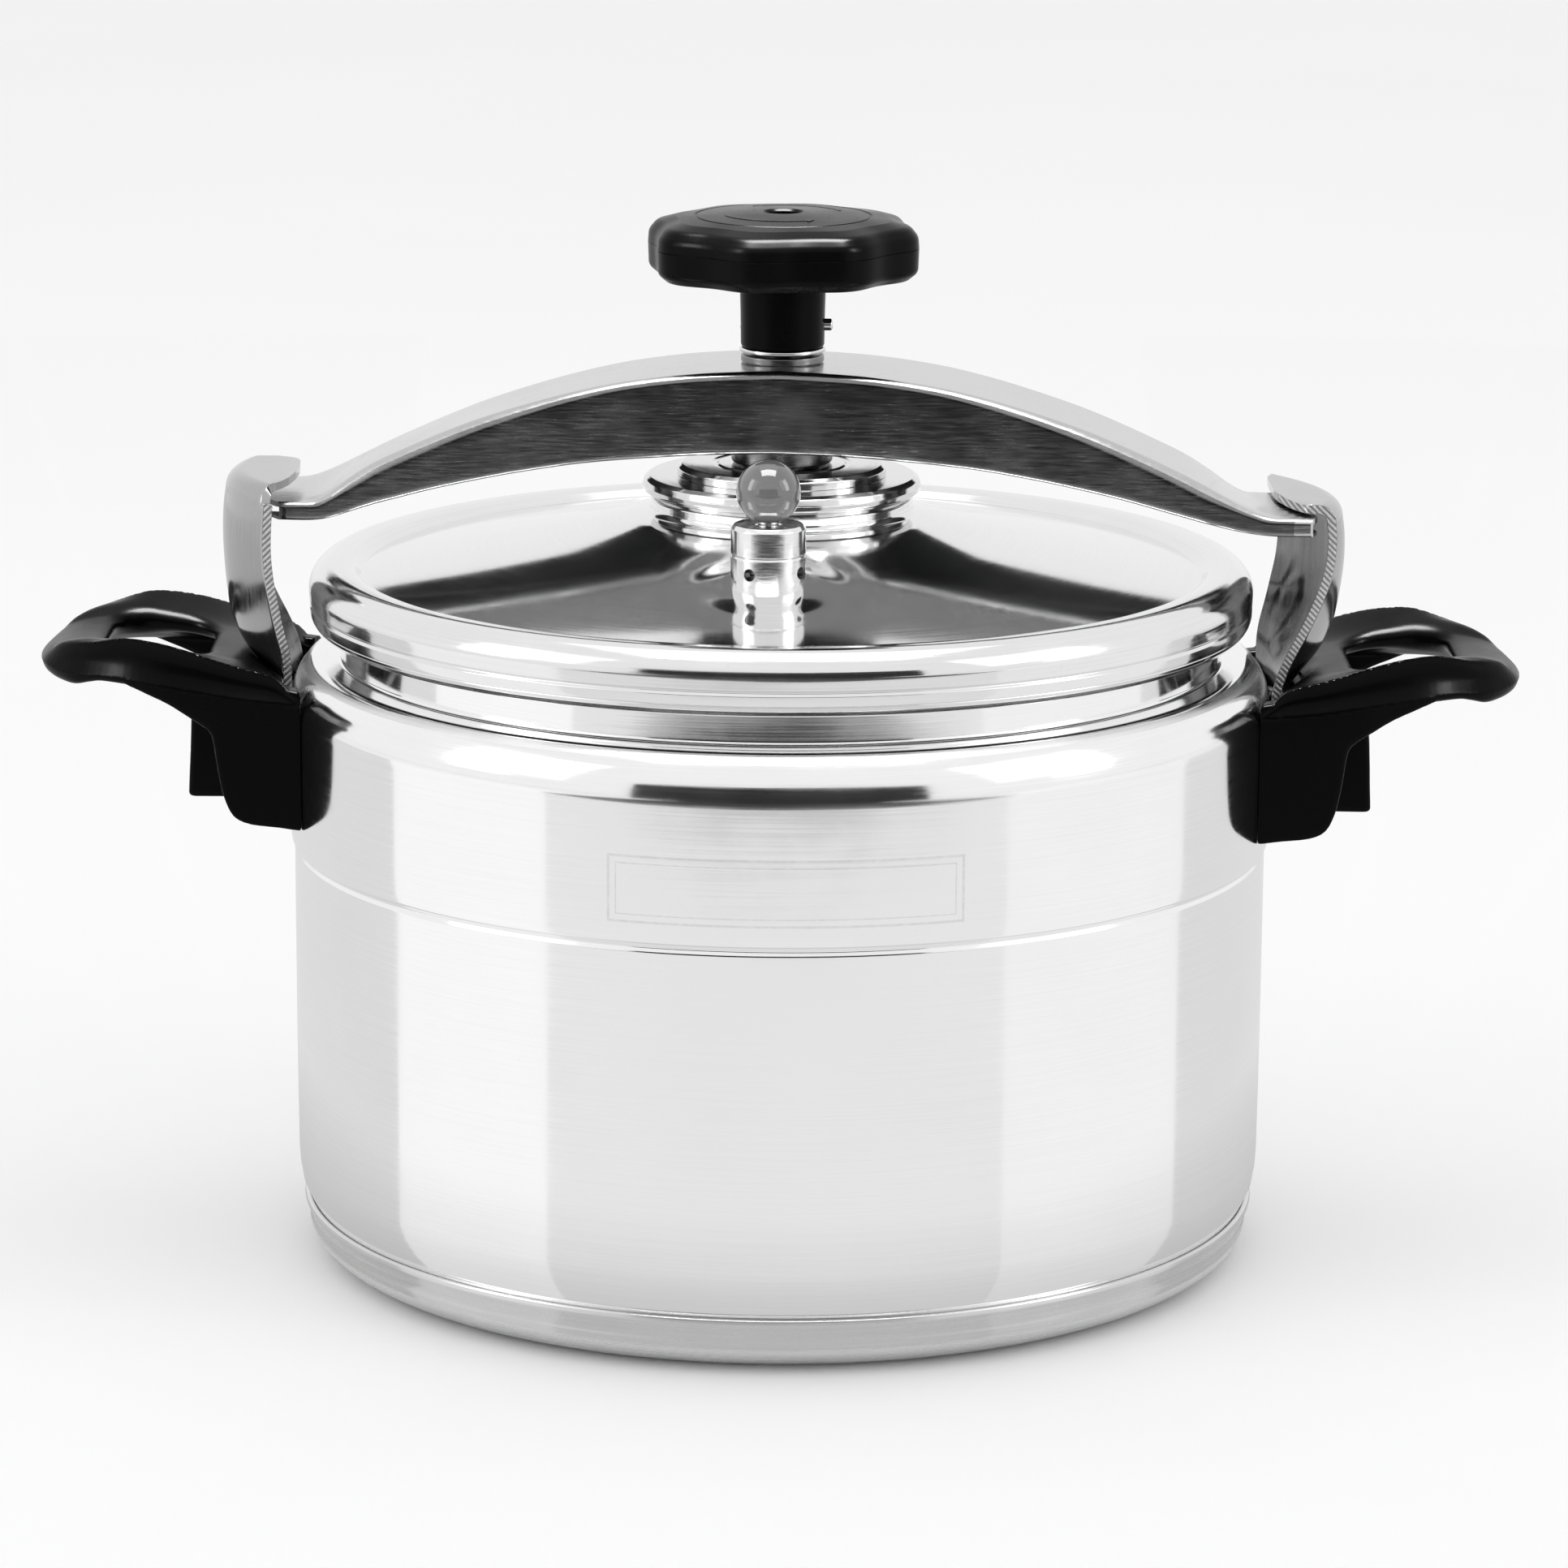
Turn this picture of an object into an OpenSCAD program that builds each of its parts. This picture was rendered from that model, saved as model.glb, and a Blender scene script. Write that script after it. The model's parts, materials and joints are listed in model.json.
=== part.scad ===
// Clamp-bar pressure canner: a polished pot with a domed lid that is pressed
// down by an arched cross bar, a clamp screw and a knob. The bar turns out
// from under two hooks that are riveted to the pot.
// Frame: origin at the centre of the base, +Z up, +X along the handle axis,
// -Y is the side of the operating valve. All lengths are in millimetres.

/* [Pot] */
// Outer radius of the pot wall
pot_r = 120.4; // [120:0.1:121]
// Outer radius of the raised band above the bead
band_r = 121.3; // [121:0.1:121.6]
// Height of the bead that runs round the pot
bead_z = 103.6; // [95:0.1:104]
// Height at which the shoulder starts
shoulder_z = 137; // [136:0.5:138]
// Outer radius of the pot mouth
mouth_r = 108.6; // [108:0.1:109]
// Height of the pot mouth
mouth_z = 163; // [162:0.1:163]
// Wall thickness of the pot
wall_t = 2.6; // [2:0.1:3]
// Height of the bonded base
base_h = 14; // [13:0.5:14]

/* [Lid] */
// Outer radius of the lid rim
rim_r = 116.3; // [116:0.1:117]
// Radius where the lid cone meets its rim bead
crease_r = 103.5; // [103:0.1:104]
// Height of the crease between cone and bead
crease_z = 170.4; // [170:0.1:171]
// Radius of the raised boss in the middle of the lid
boss_r = 33.5; // [33:0.1:34]
// Height where the cone meets the boss
boss_z = 184; // [183.5:0.1:184.5]
// Thickness of the lid sheet
lid_t = 3; // [2.5:0.1:3.5]

/* [Clamp] */
// Turn of the closed bar away from the handle axis, degrees
bar_yaw = -3.5; // [-4:0.1:-3]
// Width of the cross bar
bar_w = 38; // [36:0.5:39]
// Sheet thickness of the cross bar
bar_t = 2; // [1.5:0.1:2.5]
// Radius of the clamp screw thread
screw_r = 8; // [7.5:0.1:8.2]
// Radial running clearance of the screw in its nut
screw_gap = 0.05; // [0.02:0.01:0.1]
// Radius of the knob at the middle of a lobe
knob_r = 34.3; // [33:0.1:35]
// Depth of the hollows between the knob lobes
knob_dip = 2.6; // [1:0.1:3]
// Number of knob lobes
knob_lobes = 8; // [6:1:10]

/* [Hooks] */
// Half width of the hook plates
hook_w = 22; // [20:0.5:22]
// Sheet thickness of the hook plates
hook_t = 2.3; // [2:0.1:2.4]

/* [Handles] */
// Distance from the pot axis to a handle tip
handle_x = 183; // [178:1:186]
// Half width of a handle at the pot
handle_w = 35; // [33:0.5:36]

/* [Valves] */
// Distance of the valves from the lid axis
valve_y = 62.6; // [61:0.1:64]
// Offset of the operating valve along X
valve_x = -3.1; // [-4:0.1:-2]
// Radius of the operating valve body
valve_r = 8.9; // [8.5:0.1:9]
// Radius of the ball knob on the operating valve
ball_r = 7.65; // [7.4:0.05:7.8]

/* [Hidden] */
$fn = 96;

// ---- small helpers -------------------------------------------------
// points of an elliptical arc from angle a0 to a1
function arc(cx, cy, rx, ry, a0, a1, n = 10) =
    [for (i = [0:n]) let (a = a0 + (a1 - a0) * i / n)
        [cx + rx * cos(a), cy + ry * sin(a)]];
// smooth curve through a list of points (Catmull-Rom), m steps a span
function cr(p0, p1, p2, p3, t) =
    0.5 * ((2 * p1) + (p2 - p0) * t
    + (2 * p0 - 5 * p1 + 4 * p2 - p3) * t * t
    + (3 * p1 - p0 - 3 * p2 + p3) * t * t * t);
function smooth(p, m = 4) = let (n = len(p)) concat(
    [for (i = [0:n - 2], j = [0:m - 1])
        cr(p[max(i - 1, 0)], p[i], p[i + 1], p[min(i + 2, n - 1)], j / m)],
    [p[n - 1]]);
function rev(p) = [for (i = [len(p) - 1:-1:0]) p[i]];
// height of the upper face of the lid cone at radius r
lid_slope = (boss_z - crease_z) / (crease_r - 33);
function cone_z(r) = boss_z - (r - 33) * lid_slope;

// ---- pot -------------------------------------------------------------
module pot_body() {
    outer = concat(
        [[0, 6], [104, 6]],
        arc(106, 19, 12.6, 13, -90, -18, 10),
        [[119.4, 18], [pot_r - 0.3, 24], [pot_r, 60], [pot_r, bead_z - 1.2],
         [pot_r - 0.5, bead_z - 0.5], [pot_r - 0.5, bead_z],
         [band_r - 0.2, bead_z + 1], [band_r, bead_z + 2.4]],
        arc(113.3, shoulder_z, band_r - 113.3, 12.3, 0, 90, 14),
        [[mouth_r + 1, 149.3], [mouth_r, 150.3], [mouth_r, mouth_z]]);
    inner = concat(
        [[mouth_r - wall_t, mouth_z], [mouth_r - wall_t, 147.6]],
        rev(arc(111, shoulder_z, pot_r - wall_t - 111, 9.4, 0, 86, 12)),
        [[pot_r - wall_t, 60]],
        rev(arc(106, 21, pot_r - wall_t - 106, 12, -90, 0, 10)),
        [[0, 9]]);
    color("silver") rotate_extrude($fn = 128) polygon(concat(outer, inner));
}

// bonded base; its underside is the resting face
module base_disc() {
    lower = concat([[0, 0]], arc(105.1, 8, 12.6, 8, -90, 10, 12),
                   [[118.9, base_h - 1.2], [118.7, base_h]]);
    upper = concat([[118.05, base_h]],
        rev(arc(106, 19, 12.6, 13, -90, -25.2, 9)), [[104, 6], [0, 6]]);
    color("gainsboro") rotate_extrude($fn = 128) polygon(concat(lower, upper));
}

// ---- hooks -------------------------------------------------------------
// stations up the hook: height, front edge, rear edge and bulge of the
// inner face, for the hook on the +X side
hook_st = [
    [108, 119.8, 119.8, 2.1], [122, 119.8, 119.8, 2.1],
    [136, 119.8, 119.8, 2.1], [142, 119.9, 119.4, 2.9],
    [147, 120.8, 119.2, 6.4], [152, 122.8, 119.6, 9.4],
    [158, 125.8, 121, 10], [164, 128.6, 122.3, 9],
    [170, 130.9, 123.5, 7.8], [176, 132.4, 124, 7],
    [182, 132.8, 123.8, 6.6], [187, 132.4, 123.4, 6.2],
    [190.8, 131.6, 123.2, 6]];
function hook_x(s, v) = let (c = (s[1] + s[2]) / 2 - v * (s[1] - s[2]) / 2)
    c + s[3] * (1 - v * v);
function hook_pts(off, m, side) = [for (s = smooth(hook_st, 2)) for (j = [0:m])
    let (v = -1 + 2 * j / m) [side * (hook_x(s, v) + off), side * v * hook_w, s[0]]];
module hook_plate(side, m = 8) {
    n = 2 * (len(hook_st) - 1) + 1;
    k = m + 1;
    a = hook_pts(0, m, side);
    b = hook_pts(hook_t, m, side);
    q = n * k;
    faces = concat(
        [for (i = [0:n - 2], j = [0:m - 1]) each
            let (p = i * k + j)
            [[p, p + 1, p + k], [p + 1, p + k + 1, p + k]]],
        [for (i = [0:n - 2], j = [0:m - 1]) each
            let (p = q + i * k + j)
            [[p, p + k, p + 1], [p + 1, p + k, p + k + 1]]],
        [for (i = [0:n - 2]) each let (p = i * k)
            [[p, p + k, p + q], [p + k, p + k + q, p + q]]],
        [for (i = [0:n - 2]) each let (p = i * k + m)
            [[p, p + q, p + k], [p + k, p + q, p + k + q]]],
        [for (j = [0:m - 1]) each
            [[j, j + q, j + 1], [j + 1, j + q, j + 1 + q]]],
        [for (j = [0:m - 1]) each let (p = (n - 1) * k + j)
            [[p, p + 1, p + q], [p + 1, p + 1 + q, p + q]]]);
    polyhedron(points = concat(a, b), faces = faces, convexity = 6);
}
rivet_y = 13.8;
rivet_z = [114, 136];
stud_z = 125.4;
// the lip that holds the bar end down
// the right lip is cut back at its front corner, the left one is full
lip_front = [[122, 19.5], [122, -7], [124.6, -17], [127.6, -21.6]];
lip_full = [[121, 19.5], [120.6, 10], [120.4, -8], [120.8, -16.5], [122.6, -20.6], [125.4, -21.8]];
module hook_lip(side) {
    translate([0, 0, 188.6]) linear_extrude(height = 2.2)
        polygon([for (p = concat(side > 0 ? lip_front : lip_full,
                 [[131.8, -21.8], [133, -21.8], [135.2, -16], [136.1, -8], [135.9, 0],
                 [134.3, 8], [131.1, 15], [126.3, 20.6], [124.4, 21.6]])) side * p]);
}
module hook(side) {
    difference() {
        union() { hook_plate(side); hook_lip(side); }
        for (y = [-rivet_y, rivet_y], z = rivet_z)
            translate([side > 0 ? 110 : -140, y, z]) rotate([0, 90, 0])
                cylinder(r = 2.4, h = 30, $fn = 32);
        translate([side > 0 ? 110 : -140, 0, stud_z]) rotate([0, 90, 0])
            cylinder(r = 3, h = 30, $fn = 32);
    }
}
module hook_left() { color("lightsteelblue") hook(-1); }
module hook_right() { color("lightsteelblue") hook(1); }
// rivets lie wholly outside the sealed wall: short studs welded to the
// pot band, upset over the hook plate
module hook_rivets() {
    color("gray") for (s = [0, 180]) rotate([0, 0, s])
        for (y = [-rivet_y, rivet_y], z = rivet_z) {
            intersection() {
                translate([118, y, z]) rotate([0, 90, 0]) cylinder(r = 2.4, h = 7.2, $fn = 32);
                difference() {
                    translate([100, -30, 100]) cube([60, 60, 60]);
                    translate([0, 0, 90]) cylinder(r = band_r, h = 80, $fn = 128);
                }
            }
            translate([124.35, y, z]) rotate([0, 90, 0]) cylinder(r1 = 4.4, r2 = 3.2, h = 1.6, $fn = 32);
        }
}

// ---- handles -----------------------------------------------------------
// outline of a handle seen from above, for the +X side
handle_plan = smooth([[118, 35], [128, 35], [140, 35.2], [150, 34.4], [160, 31.6],
    [169, 26.6], [176, 19.4], [181, 10.4], [183, 0]], 3);
// upper and lower edges of the loop seen from the side
loop_top = smooth([[118, 143.6], [121.7, 147.4], [125, 149.4], [130, 150.4], [137, 152.4],
    [144, 154.6], [151.4, 156.5], [159, 157.2], [166, 156.8], [173, 154.6], [179, 153],
    [182, 151.6], [183, 150]], 2);
loop_low = smooth([[183, 149.4], [181, 146.6], [176.7, 144], [172.4, 143.4], [167, 145],
    [160, 145], [150, 143.6], [136, 142.4], [118, 141]], 2);
leg_side = smooth([[118, 142], [118, 111.6], [122.2, 111.9], [129, 112.5], [133.2, 114.2],
    [135.3, 118.1], [136.5, 123.4], [137.5, 130], [138.9, 134.7], [144, 138.3],
    [149.1, 141.3], [156, 143.8], [158, 147]], 2);
module handle_shape() {
    k = handle_w / 35;
    difference() {
        union() {
            intersection() {
                translate([0, 0, 130]) linear_extrude(height = 40)
                    polygon(concat([for (p = handle_plan) [p[0] * handle_x / 183, p[1] * k]],
                        [for (p = rev(handle_plan)) [p[0] * handle_x / 183, -p[1] * k]]));
                rotate([90, 0, 0]) translate([0, 0, -40]) linear_extrude(height = 80)
                    polygon(concat([for (p = loop_top) [p[0] * handle_x / 183, p[1]]],
                        [for (p = loop_low) [p[0] * handle_x / 183, p[1]]]));
            }
            for (s = [-1, 1]) translate([0, s * (handle_w - 2.7), 0])
                rotate([90, 0, 0]) translate([0, 0, -2.7]) linear_extrude(height = 5.4)
                    polygon(concat(leg_side, [[118, 149]]));
            // central boss that the stud passes through
            translate([124.5, -8, 112.3]) cube([21.3, 16, 32.2]);
        }
        // finger hole
        translate([153, 0, 120]) scale([1, 1, 1]) linear_extrude(height = 60)
            intersection() {
                circle(r = 19.5, $fn = 64);
                translate([-12, -30]) square([24, 60]);
            }
        // seat on the pot and the way of the hook plate
        translate([0, 0, 100]) cylinder(r = 121.75, h = 80, $fn = 128);
        translate([100, -23.5, 100]) cube([24.8, 47, 70]);
        translate([100, -23.5, 141]) cube([38, 47, 40]);
        // bore for the stud and its nut
        translate([110, 0, stud_z]) rotate([0, 90, 0]) cylinder(r = 3.2, h = 60, $fn = 32);
        translate([139.3, 0, stud_z]) rotate([0, 90, 0]) cylinder(r = 6.4, h = 30, $fn = 32);
    }
}
module handle_left() { color([0.08, 0.08, 0.08]) rotate([0, 0, 180]) handle_shape(); }
module handle_right() { color([0.08, 0.08, 0.08]) handle_shape(); }
module handle_studs() {
    color("gray") for (s = [0, 180]) rotate([0, 0, s]) intersection() {
        translate([118, 0, stud_z]) rotate([0, 90, 0]) cylinder(r = 3, h = 26, $fn = 48);
        difference() {
            translate([100, -30, 100]) cube([60, 60, 60]);
            translate([0, 0, 90]) cylinder(r = band_r, h = 80, $fn = 128);
        }
    }
}
module handle_washers() {
    color("lightgray") for (s = [0, 180]) rotate([0, 0, s])
        translate([139.3, 0, stud_z]) rotate([0, 90, 0]) difference() {
            cylinder(r = 6.1, h = 1, $fn = 48);
            translate([0, 0, -1]) cylinder(r = 3.1, h = 3, $fn = 48);
        }
}
module handle_nuts() {
    color("gray") for (s = [0, 180]) rotate([0, 0, s])
        translate([140.3, 0, stud_z]) rotate([0, 90, 0]) difference() {
            cylinder(r = 5.6, h = 4.2, $fn = 6);
            translate([0, 0, -1]) cylinder(r = 3, h = 7, $fn = 48);
        }
}

// ---- cross bar -----------------------------------------------------------
bar_half = smooth([[0, 222.2], [20, 221.2], [36, 219.2], [48, 216.7], [60, 213.4],
    [74, 208.8], [86, 203.9], [98, 198.4], [107, 193.8], [114, 190.4], [120, 188.4],
    [126, 188.1], [133, 188.1]], 2);
bar_low_half = smooth([[0, 201.8], [20, 201.2], [45, 199.1], [62, 196.5], [75, 193.9],
    [85, 191.6], [95, 188.9], [105, 186.3], [114, 184.5], [122, 183.7], [133, 183.7]], 2);
function mx(p) = [for (q = p) [-q[0], q[1]]];
// lower face of the bar's top sheet
bar_under = [for (q = bar_half) [q[0], q[1] - bar_t]];
module bar_side(top, low) {
    polygon(concat(rev(mx(top)), [for (i = [1:len(top) - 1]) top[i]],
        rev(low), [for (i = [1:len(low) - 1]) mx(low)[i]]));
}
module bridge_bar() {
    color("silver") rotate([0, 0, bar_yaw]) difference() {
        intersection() {
            rotate([90, 0, 0]) translate([0, 0, -bar_w / 2]) linear_extrude(height = bar_w)
                bar_side(bar_half, bar_low_half);
            translate([0, 0, 170]) linear_extrude(height = 60)
                polygon([[-122.4, -19.5], [130.6, -19.5], [131.4, -16], [124.2, 16.5],
                         [122.4, 19.5], [-130.6, 19.5], [-131.4, 16], [-124.2, -16.5]]);
        }
        // the open channel under the top sheet
        rotate([90, 0, 0]) translate([0, 0, -bar_w / 2 + bar_t])
            linear_extrude(height = bar_w - 2 * bar_t)
            polygon(concat(
                rev(mx([for (q = bar_under) if (q[0] < 112) q])),
                [for (q = bar_under) if (q[0] < 112 && q[0] > 0) q],
                [[112, 170], [-112, 170]]));
        // the flattened hollow ends
        for (s = [-1, 1]) translate([s * 122, 0, 185.4])
            cube([26, bar_w - 2 * bar_t, 1.6], center = true);
        // hole for the clamp screw
        translate([0, 0, 200]) cylinder(r = 9, h = 40);
    }
}
module bridge_nut() {
    color("gray") difference() {
        translate([0, 0, 208.3]) cylinder(r = 14.5, h = 11);
        translate([0, 0, 200]) cylinder(r = screw_r + screw_gap, h = 30);
    }
}
module bridge_collar() {
    color("silver") difference() {
        union() {
            translate([0, 0, 219.3]) cylinder(r = 8.95, h = 2.9);
            translate([0, 0, 222.2]) cylinder(r = 10.2, h = 1.8);
        }
        translate([0, 0, 200]) cylinder(r = screw_r + screw_gap, h = 30);
    }
}

// ---- lid -----------------------------------------------------------
module lid_profile() {
    polygon(concat(
        [[8.1, 188.6], [boss_r - 1.2, 188.6], [boss_r - 0.2, 188.2], [boss_r, 187.4],
         [boss_r - 0.4, 186], [32.4, 184.8], [33, boss_z]],
        [[crease_r, crease_z], [104.2, 171.2], [105.2, 172], [106.8, 172.6]],
        arc(110, 166.4, 6.3, 6.4, 100, 0, 12),
        [[116.3, 164], [115.7, 163.4], [115.7, 163], [116.2, 162.4], [116, 160.6],
         [115.2, 159], [113.8, 157.6], [112.4, 157], [110.9, 157]],
        [[110.9, 166.8], [102.5, 166.8], [102.5, 164.4], [100.9, 164.4],
         [100.9, cone_z(100.9) - lid_t], [35, cone_z(35) - lid_t], [31, 181.2],
         [8.1, 181.2]]));
}
module at_valve() { translate([valve_x, -valve_y, 0]) children(); }
module at_safety() { translate([-valve_x, valve_y, 0]) children(); }
module lid() {
    color("gainsboro") difference() {
        rotate_extrude($fn = 128) lid_profile();
        at_valve() translate([0, 0, 150]) cylinder(r = 5, h = 50);
        at_safety() translate([0, 0, 150]) cylinder(r = 4, h = 50);
    }
}
module lid_gasket() {
    color([0.35, 0.35, 0.35]) rotate_extrude($fn = 128)
        polygon([[102.8, 163.9], [103.4, 163.3], [109.8, 163.3], [110.6, 164],
                 [110.6, 166.8], [102.8, 166.8]]);
}
module hub_flange() {
    color("silver") rotate_extrude() polygon([
        [4, 178], [8, 178], [8, 188.6], [30, 188.6], [30, 189.5], [33, 189.5],
        [34, 190.3], [34.2, 191.6], [33.9, 193], [33, 193.9], [32, 194],
        [14.6, 194], [14.6, 190.6], [4, 190.6]]);
}
module hub_cap() {
    color("silver") rotate_extrude() polygon([
        [9.3, 194], [25.7, 194], [25.7, 195.8], [25, 196.6], [24.4, 196.8],
        [9.3, 196.8]]);
}
module hub_nut() {
    color("gray") difference() {
        translate([0, 0, 175.6]) cylinder(r = 14, h = 5.6, $fn = 6);
        translate([0, 0, 170]) cylinder(r = 8, h = 20);
    }
}

// space above / below the lid sheet, to shape the seats on the cone
module above_cone() {
    rotate_extrude($fn = 128) polygon([[34, cone_z(34)], [101, cone_z(101)],
        [101, 230], [34, 230]]);
}
module below_cone() {
    rotate_extrude($fn = 128) polygon([[35, cone_z(35) - lid_t],
        [100.9, cone_z(100.9) - lid_t], [100.9, 120], [35, 120]]);
}

// ---- operating valve -------------------------------------------------
module valve_base() {
    color("silver") difference() {
        union() {
            intersection() {
                at_valve() translate([0, 0, 170]) cylinder(r = valve_r, h = 15.8);
                above_cone();
            }
            at_valve() translate([0, 0, 164.5]) cylinder(r = 5, h = 16);
        }
        at_valve() {
            translate([0, 0, 160]) cylinder(r = 1.6, h = 30);
            translate([0, 0, 179.6]) cylinder(r = 6.4, h = 10);
            for (a = [60, 150, 240, 330]) rotate([0, 0, a])
                translate([0, 0, 182]) rotate([0, 90, 0]) cylinder(r = 1.5, h = 12, $fn = 32);
        }
    }
}
module valve_cap() {
    color("silver") at_valve() rotate_extrude() polygon([
        [6.4, 185.8], [8.9, 185.8], [8.9, 191.8], [8.4, 192.7], [7.6, 193],
        [3, 193], [3, 191.4], [6.4, 191.4]]);
}
module valve_seal() {
    color([0.2, 0.2, 0.2]) intersection() {
        at_valve() translate([0, 0, 171.2]) difference() {
            cylinder(r = 8.6, h = 10);
            translate([0, 0, -1]) cylinder(r = 5, h = 12);
        }
        below_cone();
    }
}
module valve_nut() {
    color("gray") at_valve() translate([0, 0, 166.6]) difference() {
        cylinder(r = 8.4, h = 4.6, $fn = 6);
        translate([0, 0, -1]) cylinder(r = 5, h = 8);
    }
}
module valve_needle() {
    color("gray") at_valve() union() {
        translate([0, 0, 180.2]) cylinder(r1 = 1.2, r2 = 2.4, h = 1.6, $fn = 48);
        translate([0, 0, 181.8]) cylinder(r = 2.4, h = 17);
        translate([0, 0, 183]) cylinder(r = 5.6, h = 1.2);
    }
}
module valve_ball() {
    color([0.5, 0.5, 0.5]) at_valve() difference() {
        translate([0, 0, 200.6]) sphere(r = ball_r);
        translate([0, 0, 190]) cylinder(r = 9, h = 3.7);
        translate([0, 0, 190]) cylinder(r = 2.4, h = 8.8);
    }
}
// a coil spring: wire w, mean radius cr_, from z0 to z1 in n turns
module coil(rc, w, z0, z1, turns, sides = 6, per = 12) {
    n = turns * per;
    function c(i) = let (a = 360 * i / per) [rc * cos(a), rc * sin(a), z0 + (z1 - z0) * i / n];
    pts = [for (i = [0:n], k = [0:sides - 1]) let (a = 360 * i / per, b = 360 * k / sides,
        p = c(i)) [p[0] + w * cos(b) * cos(a), p[1] + w * cos(b) * sin(a), p[2] + w * sin(b)]];
    faces = concat(
        [for (i = [0:n - 1], k = [0:sides - 1]) each
            let (a = i * sides + k, b = i * sides + (k + 1) % sides)
            [[a, a + sides, b], [b, a + sides, b + sides]]],
        [[for (k = [0:sides - 1]) k]],
        [[for (k = [sides - 1:-1:0]) n * sides + k]]);
    polyhedron(points = pts, faces = faces, convexity = 10);
}
module valve_spring() {
    color("lightgray") at_valve() coil(4.3, 0.4, 184.7, 190.9, 4);
}

// ---- safety valve ------------------------------------------------------
module safety_body() {
    color("gray") difference() {
        union() {
            intersection() {
                at_safety() translate([0, 0, 170]) cylinder(r = 7, h = 14.4, $fn = 6);
                above_cone();
            }
            at_safety() translate([0, 0, 165.5]) cylinder(r = 4, h = 15);
        }
        at_safety() {
            translate([0, 0, 160]) cylinder(r = 1.5, h = 30);
            translate([0, 0, 172]) cylinder(r = 3, h = 10.6);
        }
    }
}
module safety_seal() {
    color([0.2, 0.2, 0.2]) intersection() {
        at_safety() translate([0, 0, 171.6]) difference() {
            cylinder(r = 7, h = 10);
            translate([0, 0, -1]) cylinder(r = 4, h = 12);
        }
        below_cone();
    }
}
module safety_nut() {
    color("gray") at_safety() translate([0, 0, 167.8]) difference() {
        cylinder(r = 7, h = 3.8, $fn = 6);
        translate([0, 0, -1]) cylinder(r = 4, h = 8);
    }
}
module safety_pin() {
    color("silver") at_safety() union() {
        translate([0, 0, 168]) cylinder(r = 1.45, h = 17.6, $fn = 48);
        translate([0, 0, 172.3]) cylinder(r = 2.8, h = 1.2, $fn = 48);
    }
}
module safety_spring() {
    color("lightgray") at_safety() coil(2.2, 0.3, 173.9, 182.1, 5, 6, 10);
}

// ---- screw and knob ---------------------------------------------------
module clamp_screw() {
    color("dimgray") difference() {
        rotate_extrude() polygon([
            [0, 190.9], [14.2, 190.9], [14.2, 193.6], [8.9, 193.6], [8.9, 197.2],
            [12.4, 197.2], [12.4, 203], [11.6, 203.6], [screw_r, 203.6],
            [screw_r, 225], [6, 225], [6, 249], [0, 249]]);
        translate([-20, 0, 231]) rotate([0, 90, 0]) cylinder(r = 1.5, h = 40, $fn = 48);
    }
}
function knob_rad(a, r) = r - knob_dip / 2 + knob_dip / 2 * cos(knob_lobes * (a + 58.9));
module knob_layer(r, h) {
    linear_extrude(height = h) polygon([for (a = [0:3:357])
        knob_rad(a, r) * [cos(a), sin(a)]]);
}
module knob() {
    color([0.08, 0.08, 0.08]) difference() {
        union() {
            translate([0, 0, 243.5]) knob_layer(knob_r - 1.6, 1.2);
            translate([0, 0, 244.7]) knob_layer(knob_r, 8.3);
            translate([0, 0, 253]) knob_layer(knob_r - 0.6, 1.4);
            translate([0, 0, 254.4]) knob_layer(knob_r - 2.2, 1.2);
            translate([0, 0, 255.6]) knob_layer(knob_r - 5.4, 1);
            translate([0, 0, 256.6]) cylinder(r = 21.4, h = 1);
            translate([0, 0, 225.6]) cylinder(r1 = 10.8, r2 = 11.3, h = 18.2);
        }
        translate([0, 0, 220]) cylinder(r = 6, h = 29);
        translate([0, 0, 252]) cylinder(r = 4.2, h = 10);
        translate([-20, 0, 231]) rotate([0, 90, 0]) cylinder(r = 1.5, h = 40, $fn = 48);
    }
}
module knob_pin() {
    color("silver") translate([-10.4, 0, 231]) rotate([0, 90, 0])
        cylinder(r = 1.5, h = 22.7, $fn = 48);
}
module knob_washer() {
    color("silver") difference() {
        translate([0, 0, 224.6]) cylinder(r = 10.6, h = 1);
        translate([0, 0, 224]) cylinder(r = screw_r, h = 4);
    }
}

pot_body();
base_disc();
hook_left();
hook_right();
hook_rivets();
handle_left();
handle_right();
handle_studs();
handle_washers();
handle_nuts();
bridge_bar();
bridge_nut();
bridge_collar();
lid();
lid_gasket();
hub_flange();
hub_cap();
hub_nut();
valve_base();
valve_cap();
valve_seal();
valve_nut();
safety_body();
safety_seal();
safety_nut();
valve_needle();
valve_ball();
valve_spring();
safety_pin();
safety_spring();
clamp_screw();
knob();
knob_pin();
knob_washer();
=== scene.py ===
import bpy
import bmesh
import json
import math
import numpy as np
from mathutils import Vector, Matrix

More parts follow.
